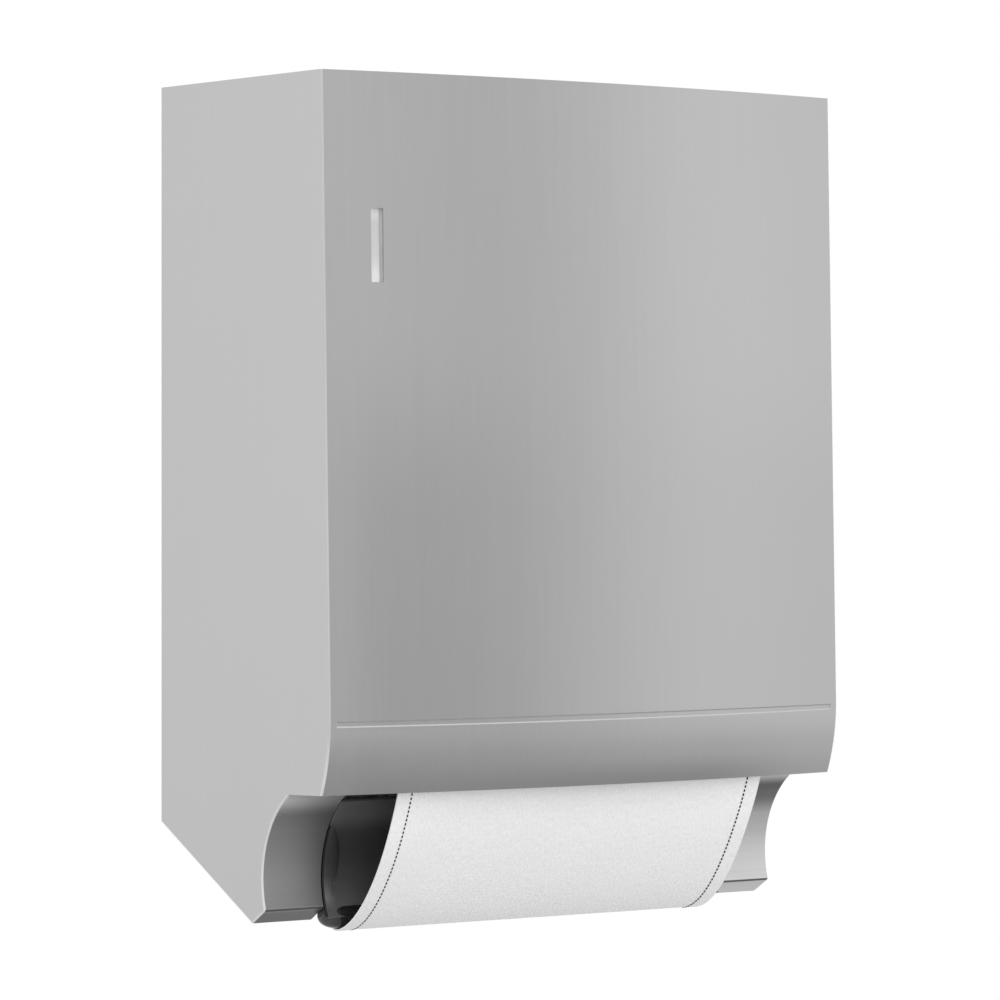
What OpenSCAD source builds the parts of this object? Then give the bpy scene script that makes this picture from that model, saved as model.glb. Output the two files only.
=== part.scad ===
// Wall-hung cloth towel dispenser: a steel hood on a top hinge over a fixed chassis that feeds and takes up the towel.
// x runs to the right, y toward the wall and z up. The origin is the middle of the wall screws, on the wall.
// A place in the side view is given as [distance from the wall, drop below the hood's top].

/* [Hood] */
// width of the hood
case_w = 350; // [342:1:364]
// height of the hood's top above the middle of the wall screws
case_top = 205; // [196:1:214]
// distance from the wall to the top front corner
case_depth = 159; // [156:1:168]
// thickness of the hood's sheet
sheet_t = 1.2; // [1:0.1:1.5]
// forward lean of the front, in degrees
front_lean = 1.26; // [1:0.02:1.6]
// how far the middle of the front stands out from its side edges
front_bow = 13; // [11:0.5:16]
// drop to where the front starts to roll under
roll_drop = 343; // [338:1:345]
// radius of the roll-under at the side edges
roll_r = 107; // [100:1:115]
// drop to the lower edge of the front
front_drop = 384.5; // [382:0.5:386]
// drop to the middle of the groove across the front
groove_drop = 348; // [347:0.5:360]
// height of the groove
groove_h = 2.8; // [2:0.1:4]
// depth of the groove
groove_t = 0.6; // [0.3:0.05:0.7]
// distance from the groove's ends to the side edges
groove_end = 4.5; // [3:0.5:12]

/* [Cheeks] */
// radius of the round cut-out that the towel hangs in
recess_r = 55.3; // [54:0.1:56.5]
// width of each steel band beside the trough
band_w = 38; // [36:0.5:39.5]
// drop to the rear end of the cheek's sole
sole_drop = 408.3; // [406:0.5:412]
// gap between the hood's rear edge and the wall
rear_gap = 2.5; // [2.4:0.1:3.5]

/* [Window] */
// distance from the left side edge to the window slot
window_edge = 28.2; // [24:0.5:34]
// width of the window slot
window_w = 7.4; // [6:0.2:9]
// drop to the top of the window slot
window_drop = 73; // [60:1:100]
// height of the window slot
window_h = 39.5; // [30:0.5:50]
// depth from the front to the pane
window_deep = 4.2; // [3.4:0.1:5]

/* [Wall mount] */
// thickness of the back plate
plate_t = 2; // [1.6:0.1:2]
// distance between the wall screws, across
screw_x = 220; // [180:5:240]
// distance between the wall screws, up and down
screw_z = 250; // [200:5:280]
// radius of the wall screw holes
screw_hole_r = 3.25; // [2.5:0.05:4]

/* [Towel] */
// width of the towel
towel_w = 250; // [230:1:254]
// thickness of the towel
towel_t = 0.8; // [0.6:0.05:1]
// radius of the clean roll
clean_r = 66; // [56:1:67]
// radius of the soiled roll
soiled_r = 34; // [28:1:44]
// radius of the core that the clean towel is wound on
core_r = 21; // [19:0.5:24]

/* [Rollers and drive] */
// radius of the feed roller
feed_r = 15; // [14:0.5:16]
// radius of the pressure roller
press_r = 9; // [8:0.5:10]
// radius of the rod that the towel leaves over
exit_r = 6; // [5:0.5:6.5]
// radius of the lip that the towel goes back round
lip_r = 7.5; // [7:0.1:7.8]
// gear module
gear_m = 2; // [1.9:0.02:2]
// teeth on the feed gear
feed_teeth = 18; // [17:1:19]
// teeth on the arbor gear
arbor_teeth = 30; // [29:1:31]
// teeth on the barrel gear
barrel_teeth = 39; // [38:1:40]
// teeth on the take-up gear
takeup_teeth = 45; // [44:1:46]
// teeth on the damper pinion
pinion_teeth = 12; // [12:1:14]

/* [Fits] */
// radial clearance of a shaft in its bush
run_fit = 0.05; // [0.02:0.01:0.1]
// clearance between pieces that move past each other
move_gap = 0.3; // [0.3:0.05:0.4]
// seam between pieces that stay together
seam = 0.05; // [0.02:0.01:0.1]

/* [Hidden] */
$fn = 64;

steel = [0.74, 0.74, 0.75];
zinc = [0.62, 0.64, 0.66];
smoke = [0.16, 0.16, 0.17];
frame_grey = [0.33, 0.34, 0.36];
acetal = [0.9, 0.9, 0.87];
rubber = [0.2, 0.2, 0.21];
cloth = [0.93, 0.93, 0.92];

// a place in the side view as [y, z]
function at(dist, drop) = [-dist, case_top - drop];
function polar(c, r, a) = c + r * [cos(a), sin(a)];
function heading(a, b) = atan2(b[1] - a[1], b[0] - a[0]);
function flip(v) = [for (i = [len(v) - 1 : -1 : 0]) v[i]];
function arc(c, r, a0, a1, n) = [for (i = [0 : n]) polar(c, r, a0 + (a1 - a0) * i / n)];

// where two gears with the pitch radii ra and rb would both mesh: the point ra from a and rb from b
function third(a, b, ra, rb) =
  let (d = norm(b - a), x = (ra * ra - rb * rb + d * d) / (2 * d), h = sqrt(ra * ra - x * x), u = (b - a) / d)
  a + x * u + h * [u[1], -u[0]];

// heading of a belt that leaves wheel 1 for wheel 2; turn is 1 anticlockwise and -1 clockwise
function belt(c1, r1, turn1, c2, r2, turn2) =
  heading(c1, c2) - asin((turn2 * r2 - turn1 * r1) / norm(c2 - c1));
function touch(c, r, turn, go) = c - turn * r * [-sin(go), cos(go)];
function along(i, path) =
  let (a = path[max(i - 1, 0)], b = path[min(i + 1, len(path) - 1)])
  (b - a) / norm(b - a);
function side_of(path, off) =
  [for (i = [0 : len(path) - 1]) path[i] + off * [-along(i, path)[1], along(i, path)[0]]];
function ribbon(path, t) = concat(side_of(path, t / 2), flip(side_of(path, -t / 2)));
function bezier(a, b, c, d, n) =
  [for (i = [0 : n]) let (t = i / n, s = 1 - t) s * s * s * a + 3 * s * s * t * b + 3 * s * t * t * c + t * t * t * d];

// involute teeth with a little slack, the first one centred on the angle turn
function inv(a) = tan(a) * 180 / PI - a;
function tooth_half(r, n) =
  let (base = n * gear_m / 2 * cos(20))
  87 / n + inv(20) - inv(acos(min(1, base / r)));
function gear_points(n, turn) =
  let (tip = (n / 2 + 1) * gear_m, root = (n / 2 - 1.25) * gear_m)
  let (low = max(n * gear_m / 2 * cos(20) + 0.02, root + 0.05))
  [for (i = [0 : n - 1]) each concat(
    [polar([0, 0], root, turn + 360 / n * i - tooth_half(low, n))],
    [for (k = [0 : 2]) let (r = low + (tip - low) * k / 2) polar([0, 0], r, turn + 360 / n * i - tooth_half(r, n))],
    [for (k = [2 : -1 : 0]) let (r = low + (tip - low) * k / 2) polar([0, 0], r, turn + 360 / n * i + tooth_half(r, n))],
    [polar([0, 0], root, turn + 360 / n * i + tooth_half(low, n))])];
// turn of gear 2 that puts its gap on gear 1's tooth
function mesh_turn(go, n1, turn1, n2) = go + 180 - 360 / n2 * (0.5 - (go - turn1) * n1 / 360);

half_w = case_w / 2;
bow_r = (half_w * half_w + front_bow * front_bow) / (2 * front_bow);
roll_len = roll_drop / cos(front_lean);
edge_inset = sheet_t * 1.02 + seam;
roll_c = at(case_depth, 0) + [roll_r * cos(front_lean) - roll_len * sin(front_lean),
  -roll_r * sin(front_lean) - roll_len * cos(front_lean)];
front_foot_z = case_top - front_drop;
inner_roll = roll_r - edge_inset;
inner_turn = asin((roll_c[1] - front_foot_z) / inner_roll);
front_foot = [roll_c[0] - inner_roll * cos(inner_turn), front_foot_z];
groove_turn = asin((groove_drop - roll_drop) / roll_r);
groove_sweep = groove_h / roll_r * 180 / PI;

recess_c = at(case_depth - 1, front_drop + 48.5);
shelf_z = front_foot_z - 1.1;
arc_hi = asin((shelf_z - recess_c[1]) / recess_r);
arc_lo = -17.8;
arc_start = polar(recess_c, recess_r, arc_hi);
arc_end = polar(recess_c, recess_r, arc_lo);
nose = arc_end + [12.9, -7.9];
sole_end = at(rear_gap, sole_drop);
sole_go = heading(nose, sole_end);
sole_up = [-sin(sole_go), cos(sole_go)];
cover_t = 2;
cover_front = nose + 11 * [cos(sole_go), sin(sole_go)];
towel_gap = 10.5;
band_in = max(half_w - band_w, towel_w / 2 + towel_gap);
bay_part = (half_w - band_in) / 38;
hinge = at(7, 5);
pin_r = 2.5;

frame_t = 3;
frame_out = band_in - 1.5;
frame_in = frame_out - frame_t;
trough_t = 2.5;
lip_c = arc_end + [5.4, -5.1];
roller_half = frame_in - 4.5;
exit_c = at(case_depth - 3.4, front_drop - 11);
feed_c = at(case_depth - 13.3, front_drop - 54.5);
press_c = feed_c + [feed_r + towel_t + 2 * move_gap + press_r, 0];
clean_c = at(case_depth / 2 + 2.5, 88);
takeup_c = at(case_depth - 85, front_drop - 132.5);
spring_c = third(feed_c, takeup_c, (feed_teeth + arbor_teeth) * gear_m / 2,
  (takeup_teeth + barrel_teeth) * gear_m / 2);
damper_c = polar(takeup_c, (takeup_teeth + pinion_teeth) * gear_m / 2, 60);
feed_go = heading(feed_c, spring_c);
takeup_go = heading(takeup_c, spring_c);
shaft_r = 5;
spindle_r = 4;
press_shaft_r = 3;
bush_t = 2.5;
gear_a = frame_out + 3 * bay_part;
gear_b = gear_a + 7.5 * bay_part;
gear_t = 6 * bay_part;
drum_r = barrel_teeth * gear_m / 2 - 5;
drum_len = 14 * bay_part;
lock_c = at(35, front_drop - 96);
lock_r = 8;
plug_r = 5.5;
cam_x = half_w - 20 * bay_part;
cam_len = 20;
spool_r = 12;
rod_r = 4;
rod_places = [at(case_depth - 19, 22), at(20, 165), at(35, front_drop - 39.5)];
foot_drops = [60, 200, 340];
foot_w = 14;
foot_h = 24;
foot_t = 3;
foot_screw_r = 2.1;

// centre line of the towel: off the clean roll, behind the feed roller, over the exit rod, round the lip, up to the take-up
exit_go = -72;
clean_wrap = clean_r + move_gap + towel_t / 2;
feed_wrap = feed_r + move_gap + towel_t / 2;
exit_wrap = exit_r + seam + towel_t / 2;
lip_wrap = lip_r + move_gap + towel_t / 2;
soiled_wrap = soiled_r + move_gap + towel_t / 2;
go_1 = belt(clean_c, clean_wrap, 1, feed_c, feed_wrap, -1);
go_2 = belt(feed_c, feed_wrap, -1, exit_c, exit_wrap, 1);
go_3 = belt(lip_c, lip_wrap, 1, takeup_c, soiled_wrap, 1);
exit_point = touch(exit_c, exit_wrap, 1, exit_go) + 11 * [cos(exit_go), sin(exit_go)];
lip_in = 258;
lip_point = polar(lip_c, lip_wrap, lip_in);
feed_path = concat([touch(clean_c, clean_wrap, 1, go_1)],
  arc(feed_c, feed_wrap, go_1 + 90, go_2 + 90, 10),
  arc(exit_c, exit_wrap, go_2 - 90, exit_go - 90, 12),
  [exit_point]);
loop_path = concat(
  bezier(exit_point, exit_point + 22 * [cos(exit_go), sin(exit_go)],
    lip_point - 28 * [-sin(lip_in), cos(lip_in)], lip_point, 24));
return_path = concat(arc(lip_c, lip_wrap, lip_in, go_3 + 270, 12), [touch(takeup_c, soiled_wrap, 1, go_3)]);

// a side view profile made solid from x0 to x1
module slab(x0, x1) {
  translate([x0, 0, 0])
    rotate([90, 0, 90])
      linear_extrude(x1 - x0)
        children();
}

// a round bar along x at a place of the side view
module bar(c, r, x0, x1) {
  slab(x0, x1)
    translate(c)
      circle(r);
}

module tube(c, r, bore, x0, x1) {
  slab(x0, x1)
    translate(c)
      difference() {
        circle(r);
        circle(bore);
      }
}

module both_sides() {
  children();
  mirror([1, 0, 0])
    children();
}

// plan of the bowed front between two depths below its surface, in the leaning frame of the front
module bow_plan(deep0, deep1, x0, x1) {
  intersection() {
    translate([0, bow_r - front_bow])
      difference() {
        circle(bow_r - deep0, $fn = 256);
        circle(bow_r - deep1, $fn = 256);
      }
    translate([x0, -front_bow - 2])
      square([x1 - x0, front_bow + 12]);
  }
}

module leaning() {
  translate([0, -case_depth, case_top])
    rotate([-front_lean, 0, 0])
      children();
}

// the roll-under: a profile of radius and x turned about the roll's axis, downward from the turn given
module rolled(turn, sweep) {
  leaning()
    translate([0, roll_r, -roll_len])
      multmatrix([[0, 0, 1, 0], [-1, 0, 0, 0], [0, -1, 0, 0], [0, 0, 0, 1]])
        rotate([0, 0, turn])
          rotate_extrude(angle = sweep, $fn = 128)
            children();
}

module roll_plan(deep0, deep1, half) {
  intersection() {
    translate([roll_r + front_bow - bow_r, 0])
      difference() {
        circle(bow_r - deep0, $fn = 256);
        circle(bow_r - deep1, $fn = 256);
      }
    translate([roll_r - 12, -half])
      square([front_bow + 24, 2 * half]);
  }
}

module side_profile() {
  difference() {
    polygon(concat(
      [[-rear_gap, case_top - sheet_t - seam]],
      [[-case_depth + edge_inset, case_top - sheet_t - seam]],
      [for (i = [0 : 12]) polar(roll_c, inner_roll, 180 - front_lean + (inner_turn + front_lean) * i / 12)],
      [arc_start, arc_end, nose, sole_end]));
    translate(recess_c)
      circle(recess_r, $fn = 128);
  }
}

module band_profile() {
  intersection() {
    translate(recess_c)
      difference() {
        circle(recess_r + sheet_t, $fn = 128);
        circle(recess_r, $fn = 128);
      }
    polygon([recess_c, polar(recess_c, 150, arc_lo), polar(recess_c, 150, (arc_lo + arc_hi) / 2),
      polar(recess_c, 150, arc_hi)]);
  }
  polygon([front_foot + [seam, 0], arc_start, polar(recess_c, recess_r + sheet_t, arc_hi - 0.5),
    arc_start + [-1, sheet_t], front_foot + [seam, sheet_t]]);
  lip_go = heading(arc_end, nose);
  lip_up = sheet_t * [-sin(lip_go), cos(lip_go)];
  polygon([arc_end, nose, nose + lip_up, arc_end + lip_up]);
}

module sole_profile() {
  start = nose + 2 * [cos(sole_go), sin(sole_go)] * sheet_t;
  polygon([start, sole_end, sole_end + sheet_t * sole_up, start + sheet_t * sole_up]);
}

module frame_profile() {
  difference() {
    polygon([at(plate_t + seam, 14), at(case_depth - 9, 14), at(case_depth - 9, front_drop - 60),
      exit_c + [-8.4, 13.5], exit_c + [-8.4, -4.5], arc_start + [-1, 2.1], arc_end + [-3, -2],
      cover_front + (cover_t + seam) * sole_up, sole_end + (cover_t + seam) * sole_up,
      at(plate_t + seam, sole_drop - 5)]);
    intersection() {
      translate(recess_c)
        circle(recess_r + trough_t + seam, $fn = 128);
      translate(arc_start + [-1, -90])
        square([90, 100]);
    }
    translate(lip_c)
      circle(lip_r + seam);
    translate(feed_c)
      circle(shaft_r + bush_t);
    translate(takeup_c)
      circle(shaft_r + bush_t);
    translate(press_c)
      circle(press_shaft_r + run_fit);
    translate(clean_c)
      circle(spindle_r + run_fit);
    translate(clean_c)
      rotate(150)
        translate([0, -spindle_r - run_fit])
          square([110, 2 * (spindle_r + run_fit)]);
    translate(at(30, 130))
      circle(16);
    translate(at(115, 195))
      circle(18);
    translate(at(30, 290))
      circle(14);
  }
}

module frame_foot(drop) {
  translate([frame_out - seam, -plate_t - seam - foot_t, case_top - drop - foot_h / 2])
    difference() {
      cube([foot_w, foot_t, foot_h]);
      translate([foot_w / 2 + 1, -1, foot_h / 2])
        rotate([-90, 0, 0])
          cylinder(r = foot_screw_r, h = foot_t + 2);
    }
}

module frame_feet() {
  for (d = foot_drops) {
    frame_foot(d);
  }
}

module back_plate() {
  color(zinc) {
    difference() {
      translate([-half_w + 4, -plate_t, case_top - sole_drop + 5])
        cube([case_w - 8, plate_t, sole_drop - 16.5]);
      for (x = [-1, 1], z = [-1, 1]) {
        translate([x * screw_x / 2, 1, z * screw_z / 2])
          rotate([90, 0, 0])
            cylinder(r = screw_hole_r, h = plate_t + 2);
      }
    }
    both_sides()
      slab(frame_out + 4, frame_out + 7)
        difference() {
          union() {
            translate(hinge)
              circle(pin_r + 1);
            polygon([hinge + [-3.5, 0], hinge + [-3.5, -15], at(plate_t, 34), at(plate_t, 15), hinge + [1.8, -8],
              hinge + [1.8, 0]]);
          }
          translate(hinge)
            circle(pin_r);
        }
  }
}

module left_frame() {
  color(frame_grey)
    mirror([1, 0, 0]) {
      slab(frame_in, frame_out)
        frame_profile();
      frame_feet();
    }
}

module right_frame() {
  color(frame_grey) {
    slab(frame_in, frame_out)
      difference() {
        frame_profile();
        translate(spring_c)
          circle(shaft_r + bush_t);
      }
    frame_feet();
  }
}

module towel_trough() {
  color(smoke)
    slab(-band_in + 1, band_in - 1)
      difference() {
        intersection() {
          translate(recess_c)
            difference() {
              circle(recess_r + trough_t, $fn = 128);
              circle(recess_r, $fn = 128);
            }
          polygon([recess_c, polar(recess_c, 150, arc_lo), polar(recess_c, 150, 10), polar(recess_c, 150, 48)]);
        }
        translate(lip_c)
          circle(lip_r + seam);
      }
}

module lip_bar() {
  end_r = 3;
  span = frame_out - 1.5;
  color(smoke) {
    bar(lip_c, lip_r, -span + end_r, span - end_r);
    bar(lip_c, lip_r - end_r, -span, span);
    for (x = [-1, 1]) {
      translate([x * (span - end_r), lip_c[0], lip_c[1]])
        rotate([0, 90, 0])
          rotate_extrude()
            translate([lip_r - end_r, 0])
              circle(end_r);
    }
  }
}

module bottom_cover() {
  color(smoke)
    slab(-band_in + 1, band_in - 1)
      polygon([cover_front, sole_end, sole_end + cover_t * sole_up, cover_front + cover_t * sole_up]);
}

module exit_rod() {
  color(zinc)
    bar(exit_c, exit_r, -frame_in, frame_in);
}

module tie_rods() {
  color(zinc)
    for (p = rod_places) {
      bar(p, rod_r, -frame_in, frame_in);
    }
}

module frame_screws() {
  color(zinc)
    both_sides()
      for (d = foot_drops) {
        translate([frame_out - seam + foot_w / 2 + 1, -plate_t - seam, case_top - d])
          rotate([90, 0, 0]) {
            cylinder(r = foot_screw_r, h = foot_t);
            translate([0, 0, foot_t])
              cylinder(r1 = foot_screw_r * 2, r2 = foot_screw_r * 1.5, h = 2.4);
          }
      }
}

module hinge_pins() {
  color(steel)
    both_sides() {
      bar(hinge, pin_r, frame_out + 3, frame_out + 11.5);
      bar(hinge, pin_r + 1, frame_out + 2.6, frame_out + 4);
    }
}

// a flanged bush in a frame, the flange on the inner face
module bush(c) {
  tube(c, shaft_r + bush_t, shaft_r + run_fit, frame_in - 1.2, frame_out);
  tube(c, shaft_r + bush_t + 2.5, shaft_r + run_fit, frame_in - 1.2, frame_in);
}

module shaft_bushes() {
  color(acetal) {
    both_sides() {
      bush(feed_c);
      bush(takeup_c);
    }
    bush(spring_c);
  }
}

module pressure_springs() {
  foot = press_c + [11, 26];
  tip = press_c + [press_shaft_r + move_gap + 0.35, -1];
  path = concat([foot + [0, 6]], bezier(foot, foot + [0, -10], tip + [0.6, 9], tip, 8), [tip + [0.8, -4]]);
  color(steel)
    both_sides()
      slab(frame_in - 3.5, frame_in)
        polygon(ribbon(path, 0.7));
}

module clutch_ring() {
  color(zinc)
    mirror([1, 0, 0]) {
      tube(feed_c, 12, shaft_r + run_fit, frame_out, frame_out + 10);
      slab(frame_out, frame_out + 3)
        difference() {
          translate(feed_c + [4, -4])
            square([18, 8]);
          translate(feed_c)
            circle(10);
        }
    }
}

module lock_keeper() {
  front = lock_c[0] - 13;
  low = lock_c[1] - cam_len - 4.5;
  color(zinc)
    slab(cam_x - bay_part, cam_x + 5 * bay_part)
      polygon([[-plate_t, low], [front, low], [front, lock_c[1] - 8], [front + 2.4, lock_c[1] - 8],
        [front + 2.4, low + 2.4], [-plate_t - 2.4, low + 2.4], [-plate_t - 2.4, low + 22], [-plate_t, low + 22]]);
}

module damper_case() {
  color(smoke) {
    bar(damper_c, 14, frame_out, gear_b - bay_part);
    bar(damper_c, 2, gear_b - bay_part, gear_b + gear_t + 1.5);
  }
}

module towel_feed_run() {
  color(cloth)
    slab(-towel_w / 2, towel_w / 2)
      polygon(ribbon(feed_path, towel_t));
}

module towel_return_run() {
  color(cloth)
    slab(-towel_w / 2, towel_w / 2)
      polygon(ribbon(return_path, towel_t));
}

module towel_loop() {
  color(cloth)
    slab(-towel_w / 2, towel_w / 2)
      intersection() {
        polygon(ribbon(loop_path, towel_t));
        polygon([exit_point + [-40, -move_gap], lip_point + [-90, -30], lip_point + [-move_gap, -30],
          lip_point + [-move_gap, 30], exit_point + [40, -move_gap]]);
      }
}

module front_panel() {
  left = -half_w + window_edge;
  color(steel)
    difference() {
      intersection() {
        union() {
          leaning()
            translate([0, 0, -roll_len])
              linear_extrude(roll_len + 2)
                bow_plan(0, sheet_t, -half_w, half_w);
          rolled(0, 32)
            roll_plan(0, sheet_t, half_w);
        }
        translate([-case_w, -case_depth - 60, front_foot_z])
          cube([2 * case_w, 120, front_drop]);
      }
      rolled(groove_turn - groove_sweep / 2, groove_sweep)
        roll_plan(-2, groove_t, half_w - groove_end);
      translate([left, -case_depth - 30, case_top - window_drop - window_h])
        cube([window_w, 60, window_h]);
    }
}

module window_bezel() {
  left = -half_w + window_edge;
  color(smoke)
    leaning()
      difference() {
        translate([0, 0, -window_drop - window_h - 1])
          linear_extrude(window_h + 2)
            bow_plan(sheet_t + seam, window_deep - seam, left - 1, left + window_w + 1);
        translate([left, -30, -window_drop - window_h])
          cube([window_w, 60, window_h]);
      }
}

module window_pane() {
  left = -half_w + window_edge;
  color([0.9, 0.92, 0.93])
    leaning()
      translate([0, 0, -window_drop - window_h - 1])
        linear_extrude(window_h + 2)
          bow_plan(window_deep, window_deep + 1.6, left - 1, left + window_w + 1);
}

module left_side() {
  color(steel)
    slab(-half_w, -half_w + sheet_t)
      side_profile();
}

module right_side() {
  color(steel)
    slab(half_w - sheet_t, half_w)
      difference() {
        side_profile();
        translate(lock_c)
          circle(lock_r + seam);
      }
}

module top_panel() {
  color(steel)
    translate([0, 0, case_top - sheet_t])
      linear_extrude(sheet_t)
        intersection() {
          translate([0, -case_depth + bow_r - front_bow])
            circle(bow_r - sheet_t - seam, $fn = 256);
          translate([-half_w, -case_depth - front_bow])
            square([case_w, case_depth + front_bow - rear_gap]);
        }
}

module left_band() {
  color(steel)
    slab(-half_w + sheet_t + seam, -band_in)
      band_profile();
}

module right_band() {
  color(steel)
    slab(band_in, half_w - sheet_t - seam)
      band_profile();
}

module left_sole() {
  color(steel)
    slab(-half_w + sheet_t + seam, -band_in)
      sole_profile();
}

module right_sole() {
  color(steel)
    slab(band_in, half_w - sheet_t - seam)
      sole_profile();
}

module hinge_leaves() {
  under = case_top - sheet_t - seam;
  color(steel)
    both_sides() {
      slab(frame_out + 7.8, frame_out + 10.8)
        difference() {
          union() {
            translate(hinge)
              circle(pin_r + 1.2);
            translate([hinge[0] - 19, hinge[1] - 3])
              square([21, under - hinge[1] + 3]);
          }
          translate(hinge)
            circle(pin_r + run_fit);
          translate([hinge[0], hinge[1] - 8])
            difference() {
              square([8, 8]);
              translate([0, 8])
                circle(pin_r + 1.2);
            }
        }
      translate([frame_out + 10.8 - seam, hinge[0] - 19, under - 1.5])
        cube([12 * bay_part, 17, 1.5]);
    }
}

module lock_barrel() {
  color(zinc) {
    tube(lock_c, lock_r, plug_r + run_fit, cam_x + 4.5, half_w);
    tube(lock_c, lock_r + 2.5, plug_r + run_fit, half_w, half_w + 1.6);
  }
}

module lock_nut() {
  color(zinc)
    slab(half_w - sheet_t - seam - 3.2, half_w - sheet_t - seam)
      difference() {
        translate(lock_c)
          circle(lock_r + 4, $fn = 6);
        translate(lock_c)
          circle(lock_r + seam);
      }
}

module lock_plug() {
  color(steel)
    difference() {
      bar(lock_c, plug_r, cam_x + 3, half_w + 1.4);
      slab(half_w - 2, half_w + 2)
        translate(lock_c)
          square([7.5, 1.4], center = true);
    }
}

module lock_cam() {
  color(zinc)
    slab(cam_x + 0.5, cam_x + 3) {
      translate(lock_c)
        circle(6);
      translate(lock_c + [0, -4])
        square([cam_len, 8]);
    }
}

module cam_screw() {
  color(steel)
    bar(lock_c, 3.4, cam_x - 1, cam_x + 0.5);
}

module roll_spindle() {
  color(zinc)
    bar(clean_c, spindle_r, -frame_out - 2, frame_out + 2);
}

module core_plugs() {
  color(acetal)
    both_sides() {
      tube(clean_c, core_r - 2.5, spindle_r, towel_w / 2 - 18, towel_w / 2 + 1);
      tube(clean_c, core_r + 5, spindle_r, towel_w / 2 + 1, towel_w / 2 + 4);
    }
}

module roll_core() {
  color([0.72, 0.6, 0.45])
    tube(clean_c, core_r, core_r - 2.5, -towel_w / 2 - 1, towel_w / 2 + 1);
}

module clean_towel() {
  color(cloth)
    tube(clean_c, clean_r, core_r, -towel_w / 2, towel_w / 2);
}

module feed_shaft() {
  color(zinc)
    bar(feed_c, shaft_r, -frame_out - 11, gear_a + gear_t + 1.5);
}

module feed_sleeve() {
  color(rubber)
    tube(feed_c, feed_r, shaft_r, -roller_half, roller_half);
}

module gear(c, n, turn, bore, x0) {
  slab(x0, x0 + gear_t)
    translate(c)
      difference() {
        polygon(gear_points(n, turn));
        circle(bore);
      }
}

module feed_gear() {
  color(acetal)
    gear(feed_c, feed_teeth, feed_go, shaft_r, gear_a);
}

module pressure_shaft() {
  color(zinc)
    bar(press_c, press_shaft_r, -frame_out, frame_out);
}

module pressure_sleeve() {
  color(rubber)
    tube(press_c, press_r, press_shaft_r, -roller_half, roller_half);
}

module arbor_shaft() {
  color(zinc)
    bar(spring_c, shaft_r, frame_in - 2, gear_b + gear_t + drum_len + 3);
}

module arbor_gear() {
  color(acetal)
    gear(spring_c, arbor_teeth, mesh_turn(feed_go, feed_teeth, feed_go, arbor_teeth), shaft_r, gear_a);
}

module barrel_drum() {
  color(acetal) {
    gear(spring_c, barrel_teeth, mesh_turn(takeup_go, takeup_teeth, takeup_go, barrel_teeth), shaft_r + run_fit,
      gear_b);
    tube(spring_c, drum_r, drum_r - 2, gear_b + gear_t, gear_b + gear_t + drum_len);
  }
}

module barrel_lid() {
  color(zinc)
    tube(spring_c, drum_r, shaft_r + run_fit, gear_b + gear_t + drum_len, gear_b + gear_t + drum_len + 1.5);
}

module main_spring() {
  turns = 5;
  inner = shaft_r + 2;
  outer = drum_r - 2.6;
  path = [for (i = [0 : turns * 24]) polar(spring_c, inner + (outer - inner) * i / (turns * 24), 15 * i)];
  color(steel)
    slab(gear_b + gear_t + 1, gear_b + gear_t + drum_len - 1)
      polygon(ribbon(path, 0.8));
}

module takeup_shaft() {
  color(zinc)
    bar(takeup_c, shaft_r, -frame_out - 3, gear_b + gear_t + 1.5);
}

module takeup_spool() {
  color(acetal) {
    tube(takeup_c, spool_r, shaft_r, -roller_half, roller_half);
    both_sides()
      tube(takeup_c, spool_r * 1.5, shaft_r, towel_w / 2 + 1, towel_w / 2 + 3);
  }
}

module takeup_gear() {
  color(acetal)
    gear(takeup_c, takeup_teeth, takeup_go, shaft_r, gear_b);
}

module soiled_towel() {
  color(cloth)
    tube(takeup_c, soiled_r, spool_r, -towel_w / 2, towel_w / 2);
}

module damper_pinion() {
  color(acetal)
    gear(damper_c, pinion_teeth, mesh_turn(60, takeup_teeth, takeup_go, pinion_teeth), 2 + run_fit, gear_b);
}

back_plate();
left_frame();
right_frame();
towel_trough();
lip_bar();
bottom_cover();
exit_rod();
tie_rods();
frame_screws();
hinge_pins();
shaft_bushes();
pressure_springs();
clutch_ring();
lock_keeper();
damper_case();
towel_feed_run();
towel_return_run();
front_panel();
left_side();
right_side();
top_panel();
left_band();
right_band();
left_sole();
right_sole();
hinge_leaves();
window_bezel();
window_pane();
lock_barrel();
lock_nut();
lock_plug();
lock_cam();
cam_screw();
roll_spindle();
core_plugs();
roll_core();
clean_towel();
feed_shaft();
feed_sleeve();
feed_gear();
pressure_shaft();
pressure_sleeve();
arbor_shaft();
arbor_gear();
barrel_drum();
barrel_lid();
main_spring();
takeup_shaft();
takeup_spool();
takeup_gear();
soiled_towel();
damper_pinion();
towel_loop();
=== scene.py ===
# %% [markdown]
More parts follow.
